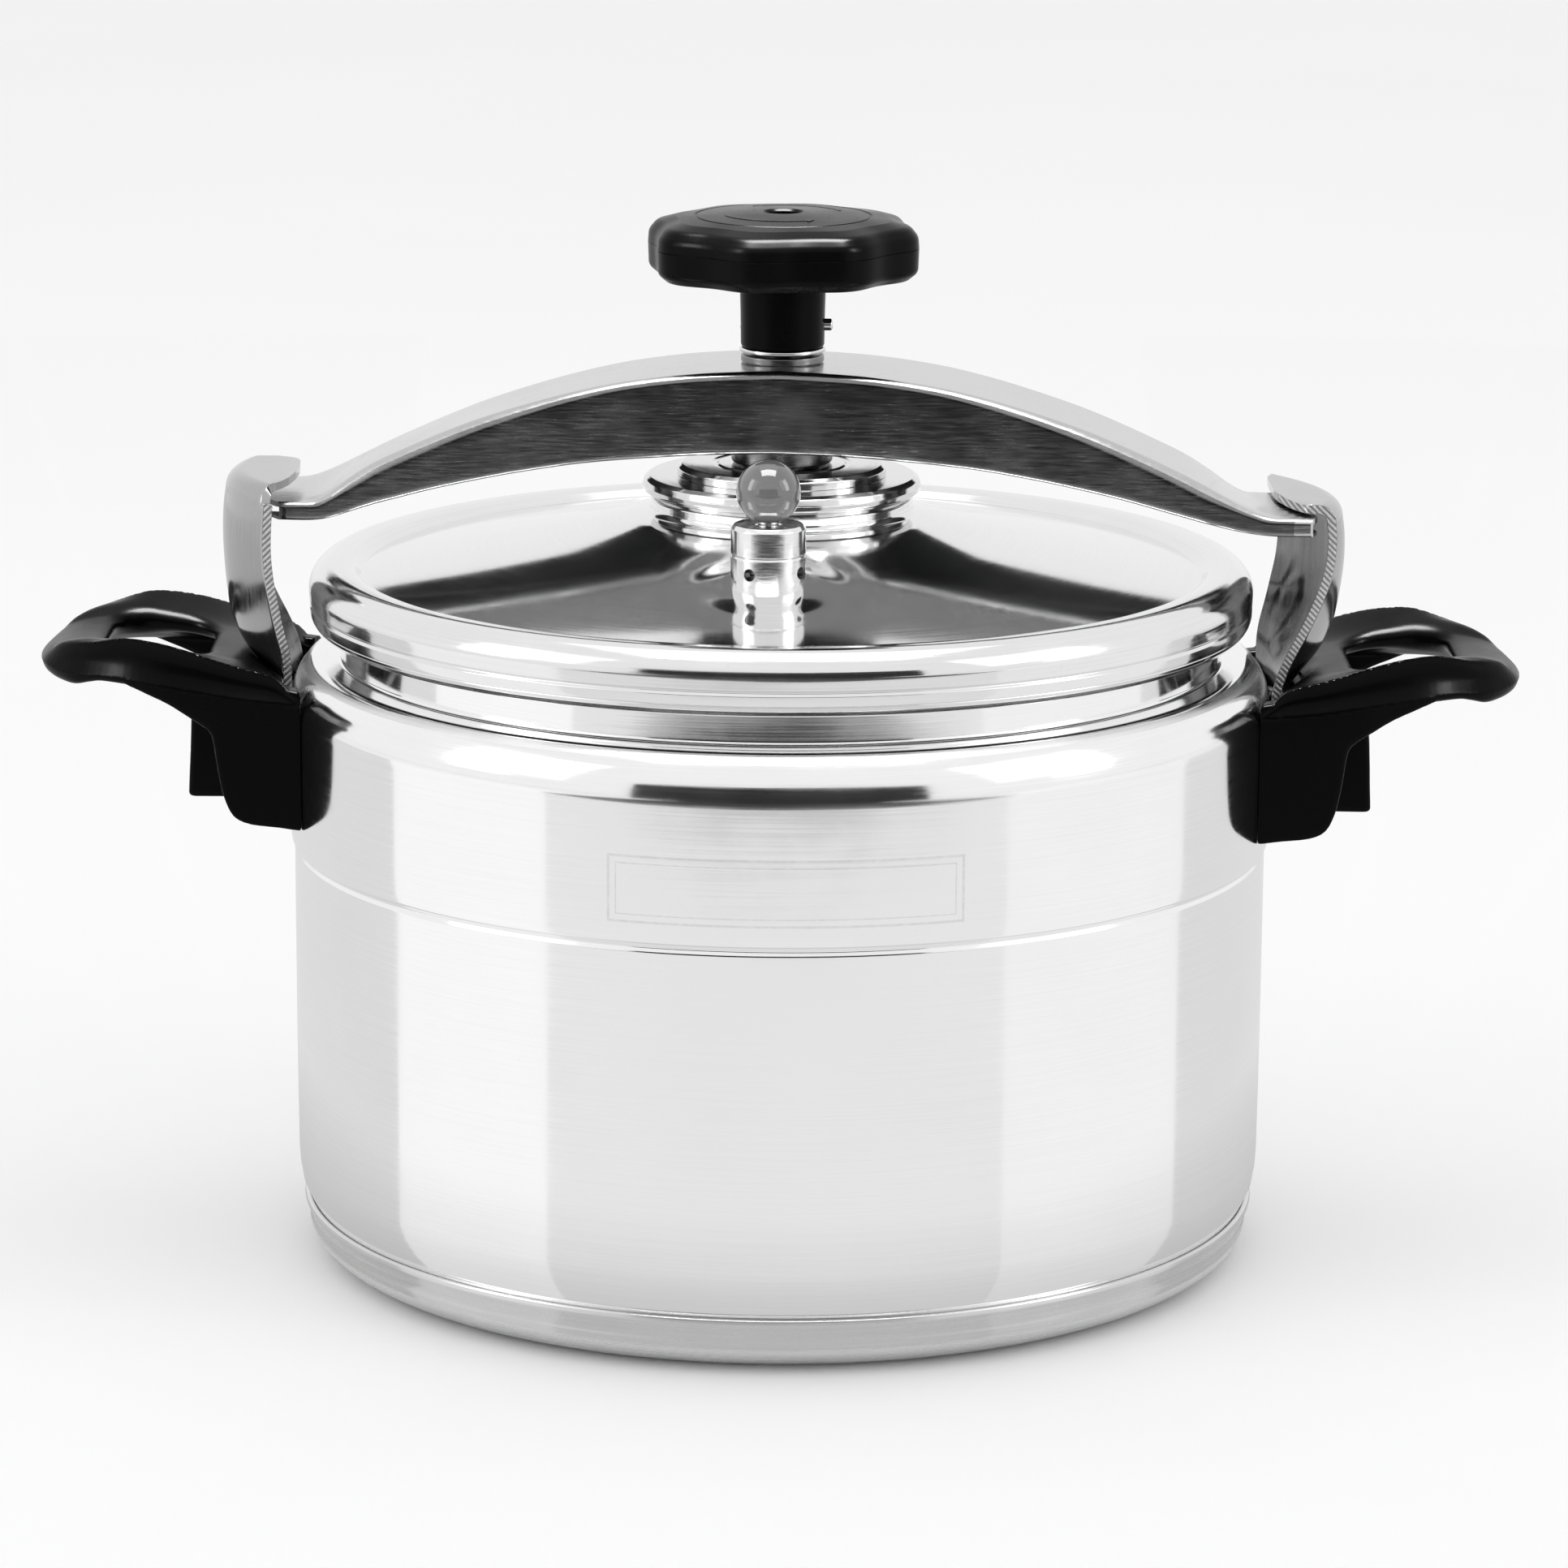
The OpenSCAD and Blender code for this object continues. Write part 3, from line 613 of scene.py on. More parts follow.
# ---------------------------------------------------------------- pot


def arc(cx, cy, rx, ry, a0, a1, n=12):
    return [(cx + rx * math.cos((a0 + (a1 - a0) * i / n) * D2R),
             cy + ry * math.sin((a0 + (a1 - a0) * i / n) * D2R)) for i in range(n + 1)]


pot_outer = ([(0, 6.2), (104, 6.2)] + arc(106, 19, 12.6, 12.8, -90, -16, 10)
             + [(119.3, 18), (119.9, 21.5), (120.15, 25), (120.3, 40), (120.4, 60), (120.4, 80), (120.4, 98)]
             + rounded([(120.4, 99), (120.4, 102.2, 1.2), (119.95, 103.4, 0.5), (121.15, 104.6, 0.8), (121.28, 107),
                        (121.3, 112)], 4)
             + [(121.3, 120), (121.3, 130)] + arc(113.3, 137, 8.0, 12.3, 0, 90, 22)
             + rounded([(111.5, 149.3), (108.6, 149.5, 1.0), (108.6, 156), (108.6, 163, 0.8), (106.0, 163, 0.8),
                        (106.0, 150)], 4))
pot_inner = (arc(111, 137, 6.8, 9.4, 86, 0, 14) + [(117.8, 120), (117.8, 90), (117.8, 60), (117.8, 30)]
             + arc(106, 21, 11.8, 12, 0, -90, 12) + [(60, 9), (0, 9)])
n_out = len(pot_outer) - 2
prof = pot_outer + pot_inner
v, f = lathe_mesh(prof, 256)
mi = []
for q in f:
    rr = [math.hypot(v[i][0], v[i][1]) for i in q]
    zz = [v[i][2] for i in q]
    inside = (sum(rr) / len(rr) < 107.2 and sum(zz) / len(zz) > 8.5) or (
        max(rr) < 118.0 and sum(zz) / len(zz) > 8.5 and min(zz) > 8.5 and max(rr) < 117.9 and sum(zz) / len(zz) < 148.4)
    mi.append(1 if inside else 0)
make("pot_shell", v, f, [M_POT, M_POT_IN], "vessel", "pot_metal", ["pot_body"], mat_index=mi, sharp=50, weighted=True)

base_prof = ([(0, 0.0), (60, 0.0), (100, 0.0)] + arc(105.1, 8, 12.6, 8, -88, 8, 16)
             + rounded([(117.95, 10.2), (118.9, 12.6, 0.8), (118.75, 13.9, 0.5), (118.0, 14.0)], 4)
             + arc(106, 19, 12.5, 12.9, -24, -90, 9) + [(0, 6.1)])
lathe("base_plate", base_prof, M_BASE, "vessel", "base_metal", ["base_disc"], segs=256)

# ---------------------------------------------------------------- lid and hub
cone = (184 - 170.4) / (103.5 - 33)
lid_prof = (rounded([(8, 188.6), (32.3, 188.6, 0.5), (32.1, 185.2, 2.8)]
                    + [(r_, 184 - (r_ - 33) * cone + 1.2 * (max(0.0, 58 - r_) / 22) ** 2) for r_ in np.arange(37, 102, 1.4)]
                    + [(103.3, 170.45, 0.8), (104.1, 171.1, 0.5), (105.4, 172.15, 1.5), (107.2, 172.72, 2.0)], 7)
            + arc(110, 166.4, 6.3, 6.4, 98, -4, 22)
            + rounded([(116.25, 165.2), (116.2, 163.9, 0.3), (115.65, 163.2, 0.25), (116.15, 162.5, 0.3), (116.1, 161.0),
                       (115.9, 160.2, 0.2), (115.6, 160.0, 0.15), (115.75, 159.75, 0.2), (115.3, 158.9, 0.8),
                       (114.0, 157.6, 0.9), (112.4, 157.0, 0.4), (110.9, 157.0, 0.2), (110.9, 166.8)], 4)
            + [(102.5, 166.8), (102.5, 164.4), (100.9, 164.4), (100.9, 184 - (100.9 - 33) * cone - 3),
               (35, 184 - 2 * cone - 3), (31, 181.2), (8, 181.2)])
v, f = lathe_mesh(lid_prof if area_sign(lid_prof) > 0 else lid_prof[::-1], 320)
# the sheet is drawn up a little round the foot of the valve
d_v = np.hypot(v[:, 0] + 3.1, v[:, 1] + 62.6)
on_cone = (np.hypot(v[:, 0], v[:, 1]) < 102) & (v[:, 2] > 184 - (np.hypot(v[:, 0], v[:, 1]) - 33) * cone - 1.0)
v[:, 2] += np.where(on_cone, 0.55 * (1 - smoothstep(9.5, 19.0, d_v)) - 0.22 * np.exp(-((d_v - 20.0) / 4.0) ** 2), 0.0)
mi = [0 if (max(math.hypot(v[i][0], v[i][1]) for i in q) < 104.0) else 1 for q in f]
make("lid_shell", v, f, [M_LID, M_RIM], "lid", "lid_metal", ["lid"], mat_index=mi, sharp=50, weighted=True)

lathe("hub_ring", rounded([(4, 178), (8, 178), (8, 188.6), (30, 188.6), (30, 189.5, 0.2), (32.6, 189.5, 0.4),
                           (34.0, 190.4, 0.9), (34.2, 191.7, 0.8), (33.8, 193.2, 0.7), (32.6, 194, 0.6), (14.6, 194, 0.3),
                           (14.6, 190.6), (4, 190.6)], 5), M_TURN, "lid", "turned_metal", ["hub_flange"])
lathe("hub_top_ring", rounded([(9.3, 194), (25.7, 194, 0.2), (25.7, 195.9, 0.5), (24.6, 196.8, 0.6), (17.4, 196.8, 0.2),
                               (17.0, 196.45, 0.2), (15.9, 196.45, 0.2), (15.5, 196.8, 0.2), (9.3, 196.8, 0.3)], 4),
      M_TURN, "lid", "turned_metal", ["hub_cap"])

# ---------------------------------------------------------------- operating valve
VX, VY = -3.1, -62.6


def cone_z(x, y):
    return 184 - (math.hypot(x, y) - 33) * cone


def bool_holes(ob, cutters):
    for i, c in enumerate(cutters):
        m = ob.modifiers.new("hole%d" % i, "BOOLEAN")
        m.operation = "DIFFERENCE"
        m.solver = "EXACT"
        m.object = c
    bpy.context.view_layer.update()
    dg = bpy.context.evaluated_depsgraph_get()
    me = bpy.data.meshes.new_from_object(ob.evaluated_get(dg))
    old = ob.data
    ob.modifiers.clear()
    ob.data = me
    bpy.data.meshes.remove(old)
    for c in cutters:
        bpy.data.objects.remove(c, do_unlink=True)
    me.polygons.foreach_set("use_smooth", [True] * len(me.polygons))
    me.set_sharp_from_angle(angle=40 * D2R)
    w = ob.modifiers.new("weighted", "WEIGHTED_NORMAL")
    w.keep_sharp = True


def rod_mesh(p0, p1, r, segs=32, name="rod"):
    """A plain rod between two points (mm), used to cut holes."""
    p0, p1 = np.array(p0, float), np.array(p1, float)
    d = p1 - p0
    d /= np.linalg.norm(d)
    u = np.cross(d, (0, 0, 1.0))
    if np.linalg.norm(u) < 1e-6:
        u = np.array((1.0, 0, 0))
    u /= np.linalg.norm(u)
    w = np.cross(d, u)
    a = np.arange(segs) * 2 * math.pi / segs
    ring = r * (np.outer(np.cos(a), u) + np.outer(np.sin(a), w))
    verts = np.vstack([p0 + ring, p1 + ring]) * MM
    faces = [(i, (i + 1) % segs, segs + (i + 1) % segs, segs + i) for i in range(segs)]
    faces = [q[::-1] for q in faces]
    faces.append(tuple(range(segs)))
    faces.append(tuple(range(2 * segs - 1, segs - 1, -1)))
    me = bpy.data.meshes.new(name)
    me.from_pydata(verts.tolist(), [], faces)
    bm = bmesh.new()
    bm.from_mesh(me)
    bmesh.ops.recalc_face_normals(bm, faces=bm.faces)
    bm.to_mesh(me)
    bm.free()
    ob = bpy.data.objects.new(name, me)
    scene.collection.objects.link(ob)
    return ob


# foot follows the slope of the lid
vb = rounded([(1.6, 164.6), (5, 164.6), (5, 174), (8.9, 174), (8.9, 185.3, 0.3), (8.6, 185.8, 0.1), (6.4, 185.8),
              (6.4, 179.6), (1.6, 179.6)], 4)
if area_sign(vb) < 0:
    vb = vb[::-1]
v, f = lathe_mesh(vb, 96, (VX, VY))
for i in range(len(v)):
    if abs(v[i][2] - 174) < 0.01 and math.hypot(v[i][0] - VX, v[i][1] - VY) > 8:
        v[i][2] = cone_z(v[i][0], v[i][1])
    elif abs(v[i][2] - 174) < 0.01:
        v[i][2] = cone_z(v[i][0], v[i][1])
vbase = make("valve_lower", v, f, M_VALVE, "lid", "turned_metal", ["valve_base"], sharp=40)
bool_holes(vbase, [rod_mesh((VX, VY, 182), (VX + 12 * math.cos(a * D2R), VY + 12 * math.sin(a * D2R), 182), 1.5)
                   for a in (60, 150, 240, 330)])
lathe("valve_upper", rounded([(6.4, 185.8), (8.55, 185.85, 0.1), (8.9, 186.2, 0.2), (8.9, 192.0, 0.5), (8.2, 193.0, 0.5),
                              (3.2, 193.0, 0.3), (3.0, 192.4), (3.0, 191.4), (6.4, 191.4)], 5), M_VALVE, "lid",
      "turned_metal", ["valve_cap"], segs=96, at=(VX, VY), sharp=40)
lathe("valve_stem", rounded([(0, 180.2), (1.2, 180.2, 0.2), (2.4, 181.8), (2.4, 183), (5.6, 183, 0.2), (5.6, 184.2, 0.2),
                             (2.4, 184.2), (2.4, 198.7, 0.2), (0, 198.8)], 3), M_VALVE, "valve_pull", "turned_metal",
      ["valve_needle"], segs=48, at=(VX, VY), sharp=40)
# the ball: two moulded halves that meet in a fine seam
ball = [(2.42, 198.7), (2.42, 193.9), (2.7, 193.72)]
a0 = math.degrees(math.asin((193.75 - 200.6) / 7.65))
for i in range(0, 49):
    a = a0 + (90 - a0) * i / 48
    rr = 7.65 - (0.09 * math.exp(-((a + 4.0) / 1.1) ** 2))
    ball.append((max(0.0, rr * math.cos(a * D2R)), 200.6 + rr * math.sin(a * D2R)))
ball[-1] = (0.0, 208.25)
ball.append((0.0, 198.7))
lathe("valve_ball_knob", ball, M_BALL, "valve_pull", "ball_plastic", ["valve_ball"], segs=96, at=(VX, VY), sharp=60)

# ---------------------------------------------------------------- clamp screw, collar, washer, knob
screw = [(0, 190.9), (14.0, 190.9), (14.2, 191.1), (14.2, 193.4), (14.0, 193.6), (8.9, 193.6), (8.9, 197.2)]
screw += rounded([(12.0, 197.2), (12.4, 197.6, 0.3), (12.4, 202.9, 0.4), (11.5, 203.6, 0.3), (8.0, 203.6)], 3)
z = 204.2
while z < 224.4:  # thread flanks, as rings
    screw += [(7.96, z), (7.2, z + 0.35), (7.2, z + 0.55), (7.96, z + 0.9)]
    z += 1.5
screw += rounded([(7.9, 225.4), (7.7, 225.6, 0.1), (6.0, 225.6), (6.0, 248.6, 0.4), (5.6, 249, 0.2), (0, 249)], 3)
screw = [q if q[1] < 225 or q[0] < 6.1 else (q[0], 225.0) for q in screw]
lathe("screw_spindle", screw, M_SCREW, "clamp_knob", "fastener_steel", ["clamp_screw"], segs=96, sharp=40)
lathe("bar_collar", rounded([(8.06, 219.3), (8.95, 219.3), (8.95, 222.2), (10.2, 222.2, 0.1), (10.2, 223.7, 0.4),
                             (9.6, 224.0, 0.2), (8.06, 224.0)], 4), M_SCREW, "bridge", "turned_metal", ["bridge_collar"],
      segs=96, sharp=40)
lathe("knob_disc", rounded([(8.0, 224.6), (10.5, 224.6, 0.3), (10.6, 225.1, 0.2), (10.5, 225.6, 0.3), (8.0, 225.6)], 4),
      M_TURN, "clamp_knob", "turned_metal", ["knob_washer"], segs=96, sharp=40)

KNOB_R, KNOB_DIP, KNOB_A = 33.9, 2.5, -58.9
kp = rounded([(6.05, 225.6), (9.9, 225.6, 0.5), (10.25, 226.4, 0.6), (10.35, 234), (10.6, 242.6, 0.9), (14, 243.7, 0.6),
              (24, 243.2), (31.0, 242.8, 1.8), (33.6, 244.9, 2.4), (33.8, 250.6), (33.62, 250.72, 0.05), (33.8, 250.84),
              (33.6, 253.6, 3.0), (31.6, 256.0, 3.4), (27, 257.2, 2.5), (21.9, 257.75, 0.2), (21.6, 257.5, 0.12),
              (21.3, 257.5, 0.12), (21.0, 257.8, 0.2), (12, 258.5), (5.0, 258.8, 0.5), (4.3, 258.2, 0.3), (4.3, 249.6),
              (0, 249.6)], 6)
kp_closed = kp + [(0, 249.2), (6.02, 249.2)]


def lobes(i, r, ang):
    w = float(smoothstep(22.5, 30.5, r))
    dip = KNOB_DIP / 2 * (1 - np.cos(8 * (ang - KNOB_A * D2R)))
    return r - w * dip


kk = kp_closed if area_sign(kp_closed) > 0 else kp_closed[::-1]
v, f = lathe_mesh(kk, 288, (0, 0), lobes)
make("knob_grip", v, f, M_KNOB, "clamp_knob", "handle_plastic", ["knob"], sharp=50, weighted=True)

# the spring pin through the stem, with its rounded ends
pin = rounded([(0, -10.4), (1.1, -10.4, 0.3), (1.5, -10.0, 0.3), (1.5, 11.9, 0.4), (1.0, 12.25, 0.3), (0, 12.3)], 3)
v, f = lathe_mesh(pin if area_sign(pin) > 0 else pin[::-1], 40)
v = np.stack([v[:, 2], v[:, 1], 231 - v[:, 0]], 1)   # laid along X
make("stem_pin", v, f, M_TURN, "clamp_knob", "fastener_steel", ["knob_pin"], sharp=40)


def ring_arrow(name, a0, a1, r, w, h, z):
    """A thin raised arrow that follows an arc, with a plain head."""
    verts, faces = [], []
    n = 26
    ang = np.linspace(a0, a1, n) * D2R
    for a in ang:
        for rr, zz in ((r - w, z - 0.3), (r - w * 0.7, z + h), (r + w * 0.7, z + h), (r + w, z - 0.3)):
            verts.append((rr * math.cos(a), rr * math.sin(a), zz))
    for i in range(n - 1):
        for j in range(3):
            q = i * 4 + j
            faces.append((q, q + 1, q + 5, q + 4))
    faces += [(0, 3, 2, 1), (n * 4 - 4, n * 4 - 3, n * 4 - 2, n * 4 - 1)]
    s = 1 if a1 > a0 else -1
    b = len(verts)
    tip = (a1 + s * 9) * D2R
    e = a1 * D2R
    for zz, k in ((z - 0.3, 1.0), (z + h, 0.8)):
        verts += [((r - w * 3.2 * k) * math.cos(e), (r - w * 3.2 * k) * math.sin(e), zz),
                  (r * math.cos(tip), r * math.sin(tip), zz),
                  ((r + w * 3.2 * k) * math.cos(e), (r + w * 3.2 * k) * math.sin(e), zz)]
    faces += [(b, b + 1, b + 4, b + 3), (b + 1, b + 2, b + 5, b + 4), (b + 2, b, b + 3, b + 5), (b + 3, b + 4, b + 5)]
    me = make(name, verts, faces, M_KNOB, "clamp_knob", "handle_plastic", smooth=False)
    bm = bmesh.new()
    bm.from_mesh(me.data)
    bmesh.ops.recalc_face_normals(bm, faces=bm.faces)
    bm.to_mesh(me.data)
    bm.free()
    return me


ring_arrow("knob_arrow_a", 200, 292, 14.6, 0.6, 0.2, 258.2)
ring_arrow("knob_arrow_b", 20, 112, 14.6, 0.6, 0.2, 258.2)

# ---------------------------------------------------------------- cross bar
YAW = -3.5
top_pts = curve([[0, 222.2], [20, 221.2], [36, 219.2], [48, 216.7], [60, 213.4], [74, 208.8], [86, 203.9], [98, 198.4],
                 [107, 193.8], [114, 190.4], [120, 188.4], [126, 188.1], [133, 188.1]], 8)
low_pts = curve([[0, 201.8], [20, 201.2], [45, 199.1], [62, 196.5], [75, 193.9], [85, 191.6], [95, 188.9], [105, 186.3],
                 [114, 184.5], [122, 183.7], [133, 183.7]], 8)
xs = np.unique(np.concatenate([np.linspace(0, 92, 40), np.linspace(92, 131.4, 40)]))
xs = np.concatenate([-xs[::-1][:-1], xs])


def bar_section(x):
    """Closed section in (y, z) at |x|: outer skin then inner skin."""
    ax = abs(x)
    zt = np.interp(ax, top_pts[:, 0], top_pts[:, 1])
    zl = np.interp(ax, low_pts[:, 0], low_pts[:, 1])
    end = float(smoothstep(100, 118, ax))
    hw = 19.0
    rt = 2.2 + 1.5 * float(smoothstep(30, 95, ax)) - 2.3 * end
    rb = 1.3 * (1 - end) + 0.9 * end
    lip = 1.0 * (1 - end) + 7.0 * end
    t_top = 2.0 * (1 - end) + 1.3 * end
    t_low = 1.6 * (1 - end) + 0.75 * end
    t_lip = 1.1 * (1 - end) + 0.75 * end
    pts, th = [], []
    pts.append((hw - rb - lip, zl)); th.append(t_lip)
    pts.append((hw - rb - lip * 0.5, zl)); th.append(t_lip)
    for i in range(7):
        a = (-90 + 90 * i / 6) * D2R
        pts.append((hw - rb + rb * math.cos(a), zl + rb + rb * math.sin(a)))
        th.append(t_lip + (t_low - t_lip) * i / 6)
    z0, z1 = zl + rb, zt - rt
    for i in range(1, 6):
        pts.append((hw, z0 + (z1 - z0) * i / 6))
        th.append(t_low)
    for i in range(11):
        a = (90 * i / 10) * D2R
        pts.append((hw - rt + rt * math.cos(a), zt - rt + rt * math.sin(a)))
        th.append(t_low + (t_top - t_low) * i / 10)
    for i in range(1, 7):
        pts.append(((hw - rt) * (1 - i / 7), zt))
        th.append(t_top)
    p = np.array(pts)
    th = np.array(th)
    left = p[::-1].copy()
    left[:, 0] *= -1
    outer = np.vstack([p, left])
    thick = np.concatenate([th, th[::-1]])
    d = np.gradient(outer, axis=0)
    d /= np.linalg.norm(d, axis=1)[:, None] + 1e-12
    nrm = np.stack([-d[:, 1], d[:, 0]], 1)
    inner = outer + nrm * thick[:, None]
    return outer, inner


def bar_end_x(s, y):
    """Where the skewed, rounded end of the bar lies, for the side s and offset y."""
    yy = y * s
    e = 131.4 + (124.2 - 131.4) * (yy + 16) / 32.5
    c = np.clip((abs(yy) - 14.5) / 5.0, 0, 1)
    return e - 3.2 * c ** 2


verts, faces, mi = [], [], []
mm = None
for x in xs:
    o, i_ = bar_section(x)
    loop = np.vstack([o, i_[::-1]])
    mm = len(loop)
    s = 1 if x >= 0 else -1
    for y, zz in loop:
        w = float(smoothstep(96, 131.4, abs(x)))
        xe = bar_end_x(s, y)
        xx = x + s * (xe - 131.4) * w
        verts.append((xx, y, zz))
nx = len(xs)
faces = grid_faces(nx, mm, wrap_v=True)
half = mm // 2
for e, base_i in ((0, 0), (1, (nx - 1) * mm)):
    for j in range(half - 1):
        a, b = base_i + j, base_i + j + 1
        c, d = base_i + mm - 2 - j, base_i + mm - 1 - j
        faces.append((a, b, c, d) if e == 0 else (d, c, b, a))
V = np.array(verts)
ca, sa = math.cos(YAW * D2R), math.sin(YAW * D2R)
V = np.stack([V[:, 0] * ca - V[:, 1] * sa, V[:, 0] * sa + V[:, 1] * ca, V[:, 2]], 1)
# inner skin faces take the dark inside material: painted shade under the bar
mi = []
for q in faces[:(nx - 1) * mm]:
    mi.append(1 if min(i % mm for i in q) >= half and max(i % mm for i in q) < mm else 0)
mi += [0] * (len(faces) - len(mi))
bar = make("arch_bar", V, faces, [M_BAR, M_BAR_IN_SHADE, M_BAR_WALL_SHADE], "bridge", "bar_metal", ["bridge_bar"], mat_index=mi)
bm = bmesh.new()
bm.from_mesh(bar.data)
bmesh.ops.recalc_face_normals(bm, faces=bm.faces)
bm.to_mesh(bar.data)
bm.free()
# faces that face mostly front or back take the darker wall copy: painted shade on the bar's side walls
for q in bar.data.polygons:
    if q.material_index == 0 and abs(q.normal.y * ca - q.normal.x * sa) > 0.8 and abs(q.center.x) < 0.124:
        q.material_index = 2
bar.data.set_sharp_from_angle(angle=42 * D2R)
bool_holes(bar, [rod_mesh((0, 0, 205), (0, 0, 235), 9.0, 64)])

# ---------------------------------------------------------------- hooks
hook_st = np.array([
    [108, 119.8, 119.8, 2.1], [122, 119.8, 119.8, 2.1], [136, 119.8, 119.8, 2.1], [142, 119.9, 119.4, 2.9],
    [147, 120.8, 119.2, 6.4], [152, 122.8, 119.6, 9.4], [158, 125.8, 121, 10], [164, 128.6, 122.3, 9],
    [170, 130.9, 123.5, 7.8], [176, 132.4, 124, 7], [182, 132.8, 123.8, 6.6], [187, 132.4, 123.4, 6.2],
    [190.8, 131.6, 123.2, 6]])
hst = curve(hook_st, 6)


def hook_inner(v, z):
    a = np.interp(z, hst[:, 0], hst[:, 1])
    b = np.interp(z, hst[:, 0], hst[:, 2])
    g = np.interp(z, hst[:, 0], hst[:, 3])
    return (a + b) / 2 - v * (a - b) / 2 + g * (1 - v * v)


FREE_FRONT = np.array([(-22, 127.8), (-21.5, 127.0), (-19, 125.6), (-15, 124.0), (-10, 122.6), (-5, 121.6), (0, 121.1),
                       (10, 120.8), (17, 120.8), (19.5, 121.2), (21.2, 122.2), (22, 123.6)])
FREE_FULL = np.array([(-22, 124.6), (-21.2, 122.2), (-19.0, 120.4), (-16, 119.6), (-8, 119.2), (0, 119.6), (8, 120.6),
                      (13, 121.9), (17, 123.6), (20, 125.6), (21.5, 127.2), (22, 128.2)])


def pressed(v_, z):
    """Height of the long pointed panel pressed into the sheet, towards the pot."""
    c = np.interp(z, [146, 152, 160, 168], [0.80, 0.76, 0.70, 0.64])
    wdt = np.interp(z, [146, 152, 162, 168], [0.02, 0.10, 0.15, 0.06])
    a = np.clip((wdt - abs(v_ - c)) / 0.05, 0, 1) * smoothstep(146, 149, z) * (1 - smoothstep(165, 168, z))
    c2 = np.interp(z, [150, 160, 176], [0.97, 0.90, 0.72])
    b = np.exp(-((v_ - c2) / 0.05) ** 2) * smoothstep(152, 158, z) * (1 - smoothstep(172, 178, z))
    return 0.35 * a + 0.22 * b


def build_hook(side, name, node):
    T, R = 2.3, 4.6
    free = FREE_FRONT if side > 0 else FREE_FULL
    vs = np.concatenate([[-1, -0.994, -0.98], np.linspace(-0.96, 0.96, 61), [0.98, 0.994, 1]])
    secs = []
    for v_ in vs:
        y = v_ * 22.0
        z0 = 108.0 + 3.0 * max(0, abs(v_) - 0.8) ** 2 / 0.04
        rise = 0.0 if side > 0 else 3.0            # the left lip stands a little higher
        zs = np.concatenate([np.linspace(z0, 140, 10), np.linspace(141, 185.6 + rise, 60)])
        xin = hook_inner(v_, np.where(zs > 160, 160 + (zs - 160) * 25.6 / (25.6 + rise), zs))
        xo = xin + T
        press = pressed(abs(v_) if v_ > 0 else -1, zs) if v_ > 0 else np.zeros_like(zs)
        slope = (xo[-1] - xo[-4]) / (zs[-1] - zs[-4])
        zc = 190.9 + rise - R
        xt = xo[-1] + slope * (zc - zs[-1])
        cx = xt - R
        xf = float(np.interp(y, free[:, 0], free[:, 1]))
        outer = [(a, b) for a, b in zip(xo, zs)]
        n = 12
        a_end = math.pi / 2
        if xf > cx - 0.4:
            a_end = math.acos(max(-1.0, min(1.0, (xf - cx) / R)))
            a_end = min(a_end, math.pi / 2)
        for i in range(n + 1):
            a = a_end * i / n
            outer.append((cx + R * math.cos(a), zc + R * math.sin(a)))
        lx, lz = outer[-1]
        tx, tz = -math.sin(a_end), math.cos(a_end)
        run = max(0.25, (lx - xf))
        for q in (0.25, 0.5, 0.75, 1.0):
            outer.append((lx + tx * run * q, min(lz + tz * run * q, 190.9 + rise)))
        outer = np.array(outer)
        d = np.gradient(outer, axis=0)
        d /= np.linalg.norm(d, axis=1)[:, None] + 1e-12
        nrm = np.stack([-d[:, 1], d[:, 0]], 1)      # towards the inside of the hook
        inner = outer + nrm * T
        inner[:len(zs)] += nrm[:len(zs)] * press[:, None]
        # break the sharp corners of the free edge
        outer[-1] += -d[-1] * 0.0 + nrm[-1] * 0.18
        inner[-1] -= nrm[-1] * 0.18
        edge_in = 0.16 if abs(v_) > 0.999 else 0.0
        if edge_in:
            outer = outer + nrm * edge_in
            inner = inner - nrm * edge_in
        secs.append((y, outer, inner))
    k = len(secs[0][1])
    loop_n = 2 * k
    verts = []
    for y, o, i_ in secs:
        for (a, b) in o:
            verts.append((a * side, y * side, b))
        for (a, b) in i_[::-1]:
            verts.append((a * side, y * side, b))
    nv = len(secs)
    faces = grid_faces(nv, loop_n, wrap_v=True)
    idx = []
    for q in faces:
        j = sorted(i % loop_n for i in q)
        rim = (j[0] == k - 1 and j[-1] == k)
        inside = j[0] >= k and j[-1] < loop_n
        # inside faces (2) take the darker inside material, painted shade on the face towards the pot; rim faces (1)
        # take the cut-edge ribs
        idx.append(1 if rim and side > 0 and min(q) // loop_n < nv * 0.35 else 2 if inside else 0)
    for e, base_i in ((0, 0), (1, (nv - 1) * loop_n)):
        for j in range(k - 1):
            a, b = base_i + j, base_i + j + 1
            c, d = base_i + loop_n - 2 - j, base_i + loop_n - 1 - j
            faces.append((a, b, c, d) if e == 0 else (d, c, b, a))
            idx.append(1)
    ob = make(name, verts, faces, [M_HOOK, M_EDGE, M_HOOK_IN_SHADE], "vessel", "hook_metal", [node], mat_index=idx)
    bm = bmesh.new()
    bm.from_mesh(ob.data)
    bmesh.ops.recalc_face_normals(bm, faces=bm.faces)
    bm.to_mesh(ob.data)
    bm.free()
    ob.data.set_sharp_from_angle(angle=48 * D2R)
    w = ob.modifiers.new("weighted", "WEIGHTED_NORMAL")
    w.keep_sharp = True
    return ob


build_hook(1, "catch_right", "hook_right")
build_hook(-1, "catch_left", "hook_left")

# ---------------------------------------------------------------- handles (implicit solid, then a quad net)


